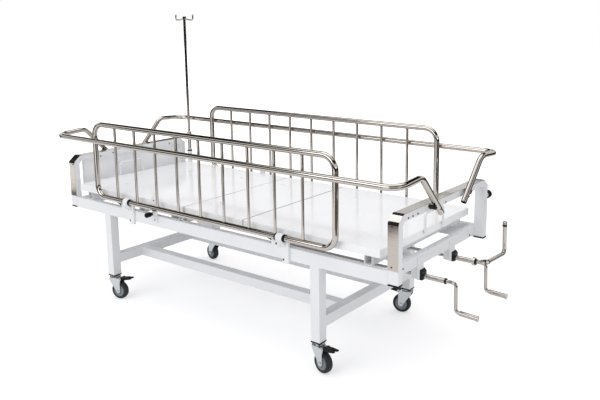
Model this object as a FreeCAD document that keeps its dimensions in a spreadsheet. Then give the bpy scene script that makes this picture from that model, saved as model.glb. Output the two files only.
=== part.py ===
import FreeCAD, Part

# Pediatric hospital cot: a welded tube frame on four braked casters, a folding three-section
# deck, two fold-down barred guards, two foot-end cranks and a telescoping infusion pole.
# Axes: X from head to foot, Y across (near side negative), Z up from the floor.

import math
import os
import re

import Sketcher

doc = FreeCAD.newDocument("PediatricCot")
sheet = doc.addObject("Spreadsheet::Sheet", "Sizes")

SIZES = [
    ("bed_length", 2232),
    ("bed_width", 836),
    ("beam_top", 557),
    ("beam_tall", 60),
    ("beam_thick", 30),
    ("tube_wall", 2.5),
    ("post_deep", 51),
    ("post_wide", 33),
    ("post_foot", 498),
    ("bow_top", 794),
    ("bow_bar_tall", 30),
    ("bow_cut_wide", 39),
    ("bow_cut_tall", 32),
    ("cap_thick", 3),
    ("member_deep", 30),
    ("member_tall", 50),
    ("member_top", 555),
    ("leg_size", 50),
    ("leg_foot", 136),
    ("leg_head_x", -783),
    ("leg_foot_x", 687),
    ("low_bar_top", 258),
    ("rest_head_in", 70),
    ("rest_head_wide", 30),
    ("rest_foot_in", 85),
    ("rest_foot_wide", 40),
    ("rest_back_x", -520),
    ("rest_back_wide", 50),
    ("rest_seat_x", -264),
    ("rest_seat_wide", 60),
    ("track_plate", 3),
    ("track_low_y", 178),
    ("track_high_y", 300),
    ("track_end_gap", 13),
    ("side_block_x", -85),
    ("side_block_long", 105),
    ("side_block_foot", 537),
    ("side_block_tall", 45),
    ("side_block_thick", 12),
    ("stretcher_y", 190),
    ("panel_sheet", 2),
    ("panel_side_gap", 71),
    ("panel_foot", 600),
    ("panel_return", 14),
    ("deck_top", 636),
    ("deck_skirt", 36),
    ("deck_sheet", 2),
    ("deck_side_gap", 9),
    ("deck_head_gap", 76),
    ("deck_foot_gap", 91),
    ("deck_corner", 8),
    ("hip_x", -157),
    ("knee_x", 252),
    ("joint_gap", 5),
    ("hinge_radius", 3.4),
    ("pin_radius", 2),
    ("hip_drop", 3.5),
    ("hip_tube_wide", 40),
    ("hip_tube_gap", 3),
    ("hip_lug_thick", 3),
    ("leaf_reach", 8),
    ("knee_rise", 4),
    ("knuckle_long", 60),
    ("hip_lug_inset", 69),
    ("knee_lug_inset", 109),
    ("pin_overhang", 20),
    ("run_fit", 0.05),
    ("seat_gap", 0.3),
    ("slot_long", 34),
    ("slot_wide", 7),
    ("slot_row", 0.6),
    ("guard_out", 22),
    ("guard_half_long", 820),
    ("guard_foot", 605),
    ("guard_top", 1010),
    ("guard_radius", 14),
    ("guard_bend", 65),
    ("guard_bar_radius", 7),
    ("guard_bar_pitch", 161),
    ("guard_bar_count", 9),
    ("stud_radius", 4),
    ("rail_off", 27),
    ("rail_z", 920),
    ("rail_over", 24.5),
    ("rail_turn_in", 135),
    ("rail_turn_rise", 12),
    ("rail_tip_in", 311),
    ("rail_tip_z", 745),
    ("rail_wall", 1.5),
    ("cradle_z", 796),
    ("cradle_long", 18),
    ("cradle_thick", 12),
    ("bracket_edge", 35),
    ("bracket_wing", 65),
    ("bracket_wing_foot", 553),
    ("bracket_tab_wide", 36),
    ("bracket_tab_foot", 482),
    ("bracket_thick", 12),
    ("bracket_corner", 5),
    ("gusset_tall", 30),
    ("eye_head_x", -570),
    ("eye_foot_x", 514),
    ("eye_wall", 5),
    ("eye_wide", 36),
    ("latch_x", -371),
    ("latch_plate_half", 20),
    ("latch_plate_thick", 5),
    ("latch_plate_foot", 523),
    ("latch_plate_top", 662),
    ("latch_pin_z", 571),
    ("latch_pin_radius", 5),
    ("latch_knob_radius", 13),
    ("latch_knob_long", 42),
    ("latch_boss_radius", 9),
    ("latch_boss_long", 16),
    ("crank_y", 150),
    ("crank_z", 459),
    ("crank_rod_radius", 8),
    ("crank_arm_reach", 124),
    ("crank_drop", 128),
    ("crank_bend", 16),
    ("crank_spindle", 102),
    ("crank_lean", 2),
    ("grip_fall", 5),
    ("crank_screw_head_x", 300),
    ("sleeve_radius", 11.5),
    ("sleeve_reach", 73),
    ("sleeve_ring_radius", 13.5),
    ("bearing_box_wide", 50),
    ("bearing_box_drop", 11),
    ("bearing_plate", 3),
    ("bearing_plate_drop", 12),
    ("bearing_block_wide", 54),
    ("bearing_block_low", 14),
    ("bearing_block_high", 38),
    ("bearing_taper", 16),
    ("sleeve_ring_long", 5),
    ("bearing_block_back", 28),
    ("grip_radius", 11),
    ("grip_end_radius", 13),
    ("grip_long", 84),
    ("holder_radius", 10.5),
    ("holder_gap", 11),
    ("holder_start_out", 109),
    ("holder_start_rise", -31),
    ("holder_corner_out", 307),
    ("holder_corner_rise", -41),
    ("holder_top_out", 299),
    ("holder_top_rise", 121),
    ("holder_bend", 24),
    ("holder_clamp_radius", 19),
    ("holder_clamp_wide", 13),
    ("holder_strap_thick", 5),
    ("holder_strap_wide", 14),
    ("holder_stub_size", 12),
    ("pole_x", -1032),
    ("socket_radius", 14),
    ("socket_top", 700),
    ("socket_lift", 3),
    ("socket_floor", 4),
    ("socket_ring_out", 2.5),
    ("socket_ring_tall", 8),
    ("socket_pad_wide", 36),
    ("socket_pad_tall", 50),
    ("pole_tube_radius", 11),
    ("pole_tube_top", 812),
    ("collar_radius", 15),
    ("collar_tall", 22),
    ("pole_rod_radius", 8),
    ("pole_rod_top", 1580),
    ("pole_rod_low", 30),
    ("rod_cap_out", 3),
    ("rod_cap_tall", 12),
    ("hook_drop", 14),
    ("hook_rise", 20),
    ("hook_bend", 10),
    ("hook_reach", 80),
    ("hook_radius", 4),
    ("clamp_back", 26),
    ("clamp_z", 700),
    ("clamp_radius", 13),
    ("clamp_long", 44),
    ("knob_radius", 20),
    ("knob_long", 34),
    ("knob_slope", 6),
    ("stop_radius", 6),
    ("stop_bend", 22),
    ("stop_rise", 76),
    ("stop_head_low_y", -120),
    ("stop_head_high_y", 50),
    ("stop_foot_low_y", -50),
    ("stop_foot_high_y", 120),
    ("wheel_radius", 50),
    ("wheel_wide", 32),
    ("axle_radius", 6),
    ("hub_radius", 15),
    ("hub_proud", 1),
    ("web_radius", 31),
    ("web_sink", 4),
    ("tread_round", 5),
    ("caster_trail", 32),
    ("fork_plate", 4),
    ("fork_gap", 2.5),
    ("fork_back", 24),
    ("fork_front", 38),
    ("fork_crown", 6),
    ("dome_out", 5),
    ("dome_tall", 14),
    ("fork_foot_radius", 14),
    ("pedal_pin_x", 46),
    ("pedal_pin_drop", 16),
    ("pedal_pin_radius", 3),
    ("pedal_barrel_radius", 6),
    ("pedal_ear_radius", 8),
    ("pedal_long", 72),
    ("pedal_wide", 36),
    ("pedal_notch_long", 26),
    ("pedal_notch_wide", 12),
]

# Places that follow from the sizes, as formulas.
HALF_LENGTH = "bed_length / 2"
HALF_WIDTH = "bed_width / 2"
KNEE_PIN = "(bed_width / 2 - deck_side_gap - knee_lug_inset + pin_overhang)"
PANEL_HALF = "(bed_width / 2 - panel_side_gap)"
DECK_HALF = "(bed_width / 2 - deck_side_gap)"
DECK_HEAD_X = "(-bed_length / 2 + deck_head_gap)"
DECK_FOOT_X = "(bed_length / 2 - deck_foot_gap)"
HIP_Z = "(deck_top - hip_drop)"
KNEE_Z = "(deck_top - deck_skirt + knee_rise)"
GUARD_Y = "(bed_width / 2 + guard_out)"
RAIL_Y = "(bed_width / 2 + guard_out + rail_off)"
RAIL_END_X = "(bed_length / 2 + rail_over)"
RAIL_TURN_Y = "(bed_width / 2 - rail_turn_in)"
RAIL_TIP_Y = "(bed_width / 2 - rail_tip_in)"
BLOCK_END_X = "(bed_length / 2 - bearing_block_back)"
SLEEVE_END_X = "(bed_length / 2 + sleeve_reach)"
CRANK_ARM_X = "(bed_length / 2 + crank_arm_reach)"
POLE_Y = "(bed_width / 2 + socket_radius)"
CLAMP_X = "(bed_length / 2 - clamp_back)"
FORK_TOP = "(leg_foot - 0.1)"
PEDAL_PIN_Z = "(leg_foot - 0.1 - pedal_pin_drop)"

for row, (alias, value) in enumerate(SIZES, start=1):
    sheet.set(f"A{row}", alias)
    sheet.set(f"B{row}", str(value))
    sheet.setAlias(f"B{row}", alias)
doc.recompute()

ALIAS = re.compile(r"\b(" + "|".join(alias for alias, _ in SIZES) + r")\b")


def cells(text):
    """The formula with every size's name pointing at its cell."""
    return ALIAS.sub(r"Sizes.\1", str(text))


def size(text):
    """The formula's value as a plain number."""
    return float(sheet.evalExpression(cells(text)))


def bind(thing, prop, text):
    thing.setExpression(prop, cells(text))


def place(thing, at, axis=None, angle=0):
    """Put an object at a point given as three formulas, turned about an axis."""
    if axis:
        turn = FreeCAD.Rotation(FreeCAD.Vector(*axis), angle)
        thing.Placement = FreeCAD.Placement(FreeCAD.Vector(), turn)
    for letter, text in zip("xyz", at):
        bind(thing, f"Placement.Base.{letter}", text)
    return thing


def named(kind, label):
    thing = doc.addObject(kind, label)
    thing.Label = label
    return thing


def box(label, low, high):
    """A block between two corners, each given as three formulas."""
    block = named("Part::Box", label)
    for prop, a, b in zip(("Length", "Width", "Height"), low, high):
        bind(block, prop, f"({b}) - ({a})")
    return place(block, low)


ROUND_TURN = {"x": ((0, 1, 0), 90), "y": ((1, 0, 0), -90), "z": None}


def rod(label, along, radius, start, length):
    """A cylinder that runs along +X, +Y or +Z from its start point."""
    bar = named("Part::Cylinder", label)
    bind(bar, "Radius", radius)
    bind(bar, "Height", length)
    turn = ROUND_TURN[along]
    return place(bar, start, *turn) if turn else place(bar, start)


def fused(label, *pieces):
    whole = named("Part::MultiFuse", label)
    whole.Shapes = list(pieces)
    return whole


def cut(label, base, tool):
    rest = named("Part::Cut", label)
    rest.Base = base
    rest.Tool = tool
    return rest


def group(label, *pieces):
    whole = named("Part::Compound", label)
    whole.Links = list(pieces)
    return whole


# Sketched bodies ---------------------------------------------------------------------------

PLANE = {"xy": "XY_Plane", "xz": "XZ_Plane", "yz": "YZ_Plane"}


def new_body(label):
    return named("PartDesign::Body", label)


def new_sketch(body, plane, offset="0"):
    """A sketch on one of the body's own origin planes, shifted along the plane's normal."""
    flat = [f for f in body.Origin.OriginFeatures if f.Role == PLANE[plane]][0]
    sketch = body.newObject("Sketcher::SketchObject", f"{body.Name}Sketch")
    sketch.AttachmentSupport = [(flat, "")]
    sketch.MapMode = "FlatFace"
    bind(sketch, "AttachmentOffset.Base.z", offset)
    return sketch


def pin_point(sketch, line, end, at):
    """Fix a point of a sketch by two distances from the origin, bound to formulas."""
    for kind, text in zip(("DistanceX", "DistanceY"), at):
        number = sketch.addConstraint(Sketcher.Constraint(kind, -1, 1, line, end, size(text)))
        bind(sketch, f"Constraints[{number}]", text)


def outline(sketch, points):
    """A closed polygon through points given as pairs of formulas."""
    corners = [FreeCAD.Vector(size(a), size(b), 0) for a, b in points]
    first = sketch.GeometryCount
    for a, b in zip(corners, corners[1:] + corners[:1]):
        sketch.addGeometry(Part.LineSegment(a, b), False)
    count = len(points)
    for k in range(count):
        after = first + (k + 1) % count
        sketch.addConstraint(Sketcher.Constraint("Coincident", first + k, 2, after, 1))
    for k, at in enumerate(points):
        pin_point(sketch, first + k, 1, at)


def rectangle(sketch, low, high):
    outline(sketch, [(low[0], low[1]), (high[0], low[1]), (high[0], high[1]), (low[0], high[1])])


def circle(sketch, centre, radius):
    at = FreeCAD.Vector(size(centre[0]), size(centre[1]), 0)
    ring = sketch.addGeometry(Part.Circle(at, FreeCAD.Vector(0, 0, 1), size(radius)), False)
    pin_point(sketch, ring, 3, centre)
    number = sketch.addConstraint(Sketcher.Constraint("Radius", ring, size(radius)))
    bind(sketch, f"Constraints[{number}]", radius)


def pad(body, sketch, length, back=False):
    feature = body.newObject("PartDesign::Pad", f"{body.Name}Pad")
    feature.Profile = sketch
    feature.Reversed = back
    bind(feature, "Length", length)
    return feature


def pocket(body, sketch, length, back=False):
    """Cut a pocket and make sure that it took material away."""
    before = body_volume(body)
    feature = body.newObject("PartDesign::Pocket", f"{body.Name}Pocket")
    feature.Profile = sketch
    feature.Reversed = back
    bind(feature, "Length", length)
    if body_volume(body) >= before:
        raise RuntimeError(f"{body.Label}: a pocket cuts nothing")
    return feature


def loft(body, first, second):
    """A solid that tapers from one sketch to the other."""
    feature = body.newObject("PartDesign::AdditiveLoft", f"{body.Name}Loft")
    feature.Profile = first
    feature.Sections = [second]
    return feature


def revolution(body, sketch, turned="V_Axis"):
    feature = body.newObject("PartDesign::Revolution", f"{body.Name}Turn")
    feature.Profile = sketch
    feature.ReferenceAxis = (sketch, [turned])
    feature.Angle = 360
    return feature


def body_volume(body):
    doc.recompute()
    return body.Shape.Volume


def round_edges(body, radius, test):
    """Fillet the edges of the body's tip that pass the test."""
    doc.recompute()
    tip = body.Tip
    names = [f"Edge{n}" for n, edge in enumerate(tip.Shape.Edges, start=1) if test(edge)]
    feature = body.newObject("PartDesign::Fillet", f"{body.Name}Fillet")
    feature.Base = (tip, names)
    bind(feature, "Radius", radius)
    return feature


AXES = {"x": ("yz", ("y", "z")), "y": ("xz", ("x", "z")), "z": ("xy", ("x", "y"))}


def square_tube(label, along, low, high, wall="tube_wall"):
    """A hollow rectangular tube between two corners, open at both ends."""
    plane, _ = AXES[along]
    body = new_body(label)
    order = {"x": (0, 1, 2), "y": (1, 0, 2), "z": (2, 0, 1)}[along]
    run, across, up = order
    sketch = new_sketch(body, plane)
    rectangle(sketch, (low[across], low[up]), (high[across], high[up]))
    rectangle(
        sketch,
        (f"({low[across]}) + {wall}", f"({low[up]}) + {wall}"),
        (f"({high[across]}) - {wall}", f"({high[up]}) - {wall}"),
    )
    sign = "-1 * " if along == "y" else ""
    bind(sketch, "AttachmentOffset.Base.z", f"{sign}({low[run]})")
    pad(body, sketch, f"({high[run]}) - ({low[run]})", back=along == "y")
    return body


# Bent round tube ---------------------------------------------------------------------------


def bent_path(points, bend):
    """Straight runs through the points, joined by tangent arcs of one radius."""
    points = [FreeCAD.Vector(*p) for p in points]
    edges = []
    start = points[0]
    for before, corner, after in zip(points, points[1:], points[2:]):
        inward = (before - corner).normalize()
        outward = (after - corner).normalize()
        half = inward.getAngle(outward) / 2
        reach = bend / math.tan(half)
        begin = corner + inward * reach
        end = corner + outward * reach
        middle_way = (inward + outward).normalize()
        middle = corner + middle_way * (bend / math.sin(half) - bend)
        edges.append(Part.LineSegment(start, begin).toShape())
        edges.append(Part.Arc(begin, middle, end).toShape())
        start = end
    edges.append(Part.LineSegment(start, points[-1]).toShape())
    return Part.Wire(edges)


def swept_round(path, radius):
    """A round bar along a path, checked against its section times its length."""
    start = path.Edges[0]
    at = start.valueAt(start.FirstParameter)
    heading = start.tangentAt(start.FirstParameter)
    profile = Part.Wire([Part.makeCircle(radius, at, heading)])
    bar = path.makePipeShell([profile], True, False)
    expected = math.pi * radius**2 * path.Length
    if abs(bar.Volume - expected) > 0.01 * expected:
        raise RuntimeError("a swept bar has the wrong volume")
    return bar


def hollow_round(path, radius, wall):
    """A round tube along a path."""
    return swept_round(path, radius).cut(swept_round(path, radius - wall))


def shaped(label, shape):
    """A document object that holds a ready shape."""
    feature = named("Part::Feature", label)
    feature.Shape = shape
    return feature


SIDES = {"near": -1, "far": 1}
ENDS = {"head": -1, "foot": 1}


def spread(sign, a, b):
    """The lower and upper formulas of a span that is mirrored when sign is negative."""
    return (f"-({b})", f"-({a})") if sign < 0 else (a, b)


# Frame -------------------------------------------------------------------------------------


def beam(side, sign):
    """Long side tube of the upper frame, between the two bows."""
    inner, outer = spread(sign, f"{HALF_WIDTH} - beam_thick", HALF_WIDTH)
    run = f"{HALF_LENGTH} - post_deep"
    return square_tube(
        f"beam_{side}",
        "x",
        (f"-({run})", inner, "beam_top - beam_tall"),
        (run, outer, "beam_top"),
    )


def bow_points(shrink):
    """Outline of a bow seen along the bed, moved inwards by the wall where it shrinks."""
    out = f"({HALF_WIDTH} - {shrink})"
    top = f"(bow_top - {shrink})"
    cut_y = f"({HALF_WIDTH} - bow_cut_wide - {shrink} / 2)"
    cut_z = f"(bow_top - bow_cut_tall - {shrink} / 2)"
    inside = f"({HALF_WIDTH} - post_wide + {shrink})"
    under = f"(bow_top - bow_bar_tall + {shrink})"
    low_y = f"({HALF_WIDTH} - bow_cut_wide - bow_bar_tall / 3 + {shrink} / 2)"
    low_z = f"(bow_top - bow_cut_tall - bow_bar_tall / 2 + {shrink} / 2)"
    half = [(out, "post_foot"), (out, cut_z), (cut_y, top)]
    inner = [(low_y, under), (inside, low_z), (inside, "post_foot")]
    left = [(f"-{y}", z) for y, z in half]
    right = [(y, z) for y, z in reversed(half)]
    right_inner = [(y, z) for y, z in reversed(inner)]
    left_inner = [(f"-{y}", z) for y, z in inner]
    return left + right + right_inner + left_inner


def bow(end, sign):
    """End bow: two hollow posts and a top bar, mitred at the corners."""
    body = new_body(f"bow_{end}")
    low, high = spread(sign, f"{HALF_LENGTH} - post_deep", HALF_LENGTH)
    outer = new_sketch(body, "yz", low)
    outline(outer, bow_points("0"))
    pad(body, outer, "post_deep")
    inner = new_sketch(body, "yz", f"({high}) - tube_wall")
    outline(inner, bow_points("tube_wall"))
    pocket(body, inner, "post_deep - 2 * tube_wall")
    return body


def post_caps():
    """Four plastic plugs that close the lower ends of the posts."""
    caps = []
    for x in ENDS.values():
        for y in SIDES.values():
            x_low, x_high = spread(x, f"{HALF_LENGTH} - post_deep", HALF_LENGTH)
            y_low, y_high = spread(y, f"{HALF_WIDTH} - post_wide", HALF_WIDTH)
            low = (x_low, y_low, "post_foot - cap_thick")
            caps.append(box(f"Cap{x + 1}{y + 1}", low, (x_high, y_high, "post_foot")))
    return group("post_caps", *caps)


def cross_member(end, sign):
    """Tube across the end of the frame, between the side beams."""
    inner = f"{HALF_WIDTH} - beam_thick"
    low, high = spread(
        sign, f"{HALF_LENGTH} - post_deep - member_deep", f"{HALF_LENGTH} - post_deep"
    )
    return square_tube(
        f"cross_member_{end}",
        "y",
        (low, f"-({inner})", "member_top - member_tall"),
        (high, inner, "member_top"),
    )


def leg(label, x, sign):
    """Square leg under a side beam."""
    inner, outer = spread(sign, f"{HALF_WIDTH} - leg_size", HALF_WIDTH)
    return square_tube(
        label,
        "z",
        (f"{x} - leg_size / 2", inner, "leg_foot"),
        (f"{x} + leg_size / 2", outer, "beam_top - beam_tall"),
    )


def leg_cross_bars():
    """Low tubes that join the two legs of each end."""
    inner = f"{HALF_WIDTH} - leg_size"
    tubes = []
    for end in ENDS:
        low = (f"leg_{end}_x - leg_size / 2", f"-({inner})", "low_bar_top - leg_size")
        high = (f"leg_{end}_x + leg_size / 2", inner, "low_bar_top")
        tubes.append(square_tube(f"LegBar{end}", "y", low, high))
    return group("leg_cross_bars", *tubes)


def leg_stretchers():
    """Low tubes along the bed between the two leg cross bars."""
    tubes = []
    for side, sign in SIDES.items():
        middle = f"{sign} * stretcher_y"
        low = ("leg_head_x + leg_size / 2", f"{middle} - leg_size / 2", "low_bar_top - leg_size")
        high = ("leg_foot_x - leg_size / 2", f"{middle} + leg_size / 2", "low_bar_top")
        tubes.append(square_tube(f"Stretcher{side}", "x", low, high))
    return group("leg_stretchers", *tubes)


def head_panel():
    """Folded sheet under the head bow's top bar, with returns all round its back."""
    body = new_body("head_panel")
    middle = f"-{HALF_LENGTH} + post_deep / 2"
    top = "bow_top - bow_bar_tall"
    outer = new_sketch(body, "yz", f"{middle} - panel_return / 2")
    rectangle(outer, (f"-{PANEL_HALF}", "panel_foot"), (PANEL_HALF, top))
    pad(body, outer, "panel_return")
    hollow = new_sketch(body, "yz", f"{middle} + panel_return / 2 - panel_sheet")
    edge = f"({PANEL_HALF} - panel_sheet)"
    rectangle(hollow, (f"-{edge}", "panel_foot + panel_sheet"), (edge, f"{top} - panel_sheet"))
    pocket(body, hollow, "panel_return")
    return body


# Deck --------------------------------------------------------------------------------------

def deck_tray(label, low_x, high_x, corner_test):
    """Folded sheet tray, open below, with two rows of drain slots."""
    body = new_body(label)
    face = new_sketch(body, "xy", "deck_top - deck_skirt")
    rectangle(face, (low_x, f"-{DECK_HALF}"), (high_x, DECK_HALF))
    pad(body, face, "deck_skirt")
    if corner_test:
        round_edges(body, "deck_corner", corner_test)
    hollow = new_sketch(body, "xy", "deck_top - deck_sheet")
    rectangle(
        hollow,
        (f"({low_x}) + deck_sheet", f"-{DECK_HALF} + deck_sheet"),
        (f"({high_x}) - deck_sheet", f"{DECK_HALF} - deck_sheet"),
    )
    pocket(body, hollow, "deck_skirt")
    slots = new_sketch(body, "xy", "deck_top")
    for y in (-1, 1):
        for share in (0.25, 0.75):
            middle = f"(({low_x}) + (({high_x}) - ({low_x})) * {share})"
            row = f"({y} * {DECK_HALF} * slot_row)"
            rectangle(
                slots,
                (f"{middle} - slot_long / 2", f"{row} - slot_wide / 2"),
                (f"{middle} + slot_long / 2", f"{row} + slot_wide / 2"),
            )
    pocket(body, slots, "deck_sheet * 2")
    return body


def upright_edge_at(x):
    """A test for the upright edges at one end of a tray."""
    def test(edge):
        ends = [v.Point for v in edge.Vertexes]
        upright = len(ends) == 2 and abs(ends[0].x - ends[1].x) < 1e-6
        upright = upright and abs(ends[0].y - ends[1].y) < 1e-6
        return upright and abs(ends[0].x - x) < 1e-6
    return test


def knuckle(label, x, z, y, toward, bored):
    """Hinge barrel with a leaf that reaches a tray's edge, on the side given by toward."""
    long_y = f"({y}) - knuckle_long / 2"
    barrel = rod(f"{label}Barrel", "y", "hinge_radius", (x, long_y, z), "knuckle_long")
    low_x, high_x = (x, f"{x} + leaf_reach") if toward > 0 else (f"{x} - leaf_reach", x)
    leaf = box(
        f"{label}Leaf",
        (low_x, long_y, f"{z} - deck_sheet / 2"),
        (high_x, f"({y}) + knuckle_long / 2", f"{z} + deck_sheet / 2"),
    )
    if not bored:
        return [barrel, leaf], None
    start = (x, f"{long_y} - 1", z)
    bore = rod(f"{label}Bore", "y", "pin_radius + run_fit", start, "knuckle_long + 2")
    return [barrel, leaf], bore


def hinged_tray(label, low_x, high_x, corner_test, knuckles, pins=()):
    """A tray with hinge barrels fused to its ends; knuckles are (x, z, y, toward, bored)."""
    parts = [deck_tray(f"{label}_tray", low_x, high_x, corner_test), *pins]
    bores = []
    for number, row in enumerate(knuckles):
        solids, bore = knuckle(f"{label}{number}", *row)
        parts += solids
        if bore:
            bores.append(bore)
    whole = fused(label if not bores else f"{label}Whole", *parts)
    if not bores:
        return whole
    return cut(label, whole, fused(f"{label}Bores", *bores))


def hip_row(step):
    """Places across the bed of one set of hip knuckles, counted inwards from the lugs."""
    shift = f"{step} * (knuckle_long + joint_gap)"
    edge = f"({DECK_HALF} - hip_lug_inset)"
    return [f"(-{edge} + {shift})", f"({shift})", f"({edge} - {shift})"]


def knee_row(step):
    """Places across the bed of one pair of knee knuckles, counted inwards."""
    edge = f"({DECK_HALF} - knee_lug_inset - {step} * (knuckle_long + joint_gap))"
    return [f"(-{edge})", edge]


def hip_support():
    """Cross tube under the hip line, with lugs and the pin that carries back and thigh."""
    inner = f"({HALF_WIDTH} - beam_thick / 2)"
    tube = square_tube(
        "HipTube",
        "y",
        ("hip_x - hip_tube_wide / 2", f"-{inner}", "beam_top"),
        ("hip_x + hip_tube_wide / 2", inner, "deck_top - deck_skirt - hip_tube_gap"),
    )
    parts = [tube]
    for number, y in enumerate(hip_row(0)):
        low_y = f"({y}) - knuckle_long / 2"
        high_y = f"({y}) + knuckle_long / 2"
        plate = box(
            f"HipLug{number}",
            ("hip_x - hip_lug_thick / 2", low_y, "deck_top - deck_skirt - hip_tube_gap - 1"),
            ("hip_x + hip_lug_thick / 2", high_y, HIP_Z),
        )
        barrel = rod(
            f"HipBarrel{number}", "y", "hinge_radius", ("hip_x", low_y, HIP_Z), "knuckle_long"
        )
        parts += [plate, barrel]
    reach = f"({DECK_HALF} - hip_lug_inset + knuckle_long)"
    pin = rod("HipPin", "y", "pin_radius", ("hip_x", f"-{reach}", HIP_Z), f"2 * {reach}")
    return fused("hip_support", *parts, pin)


def deck_rests():
    """Cross tubes and blocks on the side beams, and the plates the leg section slides on."""
    inner = f"({HALF_WIDTH} - beam_thick / 2)"
    top = "deck_top - deck_skirt - seat_gap"
    foot_rest = f"({DECK_FOOT_X} - rest_foot_in)"
    spans = [
        (f"({DECK_HEAD_X} + rest_head_in)", "rest_head_wide"),
        ("rest_back_x", "rest_back_wide"),
        ("rest_seat_x", "rest_seat_wide"),
        (foot_rest, "rest_foot_wide"),
    ]
    pieces = []
    for number, (low_x, wide) in enumerate(spans):
        low = (low_x, f"-{inner}", "beam_top")
        pieces.append(square_tube(f"DeckRest{number}", "y", low, (f"{low_x} + {wide}", inner, top)))
    for side, sign in SIDES.items():
        low_y, high_y = spread(sign, "track_low_y", "track_high_y")
        low = (f"{foot_rest} + rest_foot_wide", low_y, "member_top")
        high = (f"{HALF_LENGTH} - post_deep - track_end_gap", high_y, "member_top + track_plate")
        pieces.append(box(f"Track{side}", low, high))
        face = f"({HALF_WIDTH} - beam_thick)"
        low_y, high_y = spread(sign, f"{face} - side_block_thick", face)
        low = ("side_block_x", low_y, "side_block_foot")
        high = ("side_block_x + side_block_long", high_y, "side_block_foot + side_block_tall")
        pieces.append(box(f"SideBlock{side}", low, high))
    return group("deck_rests", *pieces)


def mattress_stop(end, x):
    """Bent round loop that stands on a tray's end and keeps the mattress in place."""
    x = size(x)
    low_y = size(f"stop_{end}_low_y")
    high_y = size(f"stop_{end}_high_y")
    foot = size("deck_top - deck_skirt / 2")
    top = size("deck_top + stop_rise")
    corners = [(x, low_y, foot), (x, low_y, top), (x, high_y, top), (x, high_y, foot)]
    path = bent_path(corners, size("stop_bend"))
    return shaped(f"mattress_stop_{end}", swept_round(path, size("stop_radius")))


# Guards ------------------------------------------------------------------------------------


def ring_path(sign):
    """Centre line of a guard's rounded rectangular ring."""
    y = sign * size(GUARD_Y)
    half = size("guard_half_long")
    low = size("guard_foot")
    top = size("guard_top")
    corners = [(0, y, low), (half, y, low), (half, y, top), (-half, y, top), (-half, y, low)]
    return bent_path(corners + [(0, y, low)], size("guard_bend"))


def rail_path(sign):
    """Centre line of a guard's long outer tube, with both ends turned in over the bows."""
    y = sign * size(RAIL_Y)
    z = size("rail_z")
    x = size(RAIL_END_X)
    turn = (sign * size(RAIL_TURN_Y), z + size("rail_turn_rise"))
    tip = (sign * size(RAIL_TIP_Y), size("rail_tip_z"))
    right = [(x, y, z), (x, *turn), (x, *tip)]
    left = [(-px, py, pz) for px, py, pz in reversed(right)]
    return bent_path(left + right, size("guard_bend"))


def guard(side, sign):
    """Rounded rectangular tube ring of a fold-down guard."""
    ring = hollow_round(ring_path(sign), size("guard_radius"), size("rail_wall"))
    return shaped(f"guard_{side}", ring)


def guard_bars(side, sign):
    """Upright bars coped to the ring, each with a weld stud that reaches the long outer tube."""
    radius = size("guard_radius")
    y = sign * size(GUARD_Y)
    ring = swept_round(ring_path(sign), radius)
    rail = swept_round(rail_path(sign), radius)
    up = FreeCAD.Vector(0, 0, 1)
    across = FreeCAD.Vector(0, sign, 0)
    count = int(size("guard_bar_count"))
    bars = []
    for number in range(count):
        x = (number - (count - 1) / 2) * size("guard_bar_pitch")
        foot = FreeCAD.Vector(x, y, size("guard_foot"))
        start = FreeCAD.Vector(x, y, size("rail_z"))
        bar = Part.makeCylinder(size("guard_bar_radius"), size("guard_top - guard_foot"), foot, up)
        stud = Part.makeCylinder(size("stud_radius"), size("rail_off"), start, across)
        bars.append(bar.fuse(stud).cut([ring, rail]))
    solids = [solid for bar in bars for solid in bar.Solids]
    if len(solids) != count:
        raise RuntimeError("a guard bar came out in pieces")
    return shaped(f"guard_bars_{side}", Part.makeCompound(solids))


def guard_rail(side, sign):
    """Long outer tube, notched where it is welded to the ring."""
    radius = size("guard_radius")
    tube = hollow_round(rail_path(sign), radius, size("rail_wall"))
    return shaped(f"guard_rail_{side}", tube.cut(swept_round(ring_path(sign), radius)))


def guard_bracket(side, end, sign):
    """Winged plate on the beam's face, with the gusseted eye that the guard's tube turns in."""
    body = new_body(f"guard_bracket_{end}_{side}")
    x = f"eye_{end}_x"
    face = f"({sign} * {HALF_WIDTH})"
    eye_y = f"({sign} * {GUARD_Y})"
    plate_top = "(guard_foot - guard_radius - 2)"
    edge = f"({x} + bracket_edge)"
    inner = f"({edge} - bracket_tab_wide)"
    plate = new_sketch(body, "xz", f"-1 * {face}")
    outline(plate, [
        (f"{x} - bracket_wing", "bracket_wing_foot"),
        (f"{x} - bracket_wing", plate_top),
        (edge, plate_top),
        (edge, "bracket_tab_foot"),
        (inner, "bracket_tab_foot"),
        (inner, "bracket_tab_foot + bracket_tab_wide / 2"),
    ])
    pad(body, plate, "bracket_thick", back=sign > 0)
    outer = size(f"{face} + {sign} * bracket_thick")
    round_edges(body, "bracket_corner", lambda edge: runs_across(edge, outer))
    start = f"{x} - eye_wide / 2"
    gusset = new_sketch(body, "yz", start)
    far_y = f"({eye_y} + {sign} * (guard_radius + eye_wall))"
    outline(gusset, [
        (face, f"{plate_top} - gusset_tall"),
        (f"{face} + {sign} * bracket_thick", f"{plate_top} - gusset_tall"),
        (far_y, "guard_foot - 4"),
        (far_y, "guard_foot"),
        (face, "guard_foot"),
    ])
    pad(body, gusset, "eye_wide")
    eye = new_sketch(body, "yz", start)
    circle(eye, (eye_y, "guard_foot"), "guard_radius + eye_wall")
    pad(body, eye, "eye_wide")
    bore = new_sketch(body, "yz", f"{x} + eye_wide / 2 + 1")
    circle(bore, (eye_y, "guard_foot"), "guard_radius + run_fit")
    pocket(body, bore, "eye_wide + 2")
    return body


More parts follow.
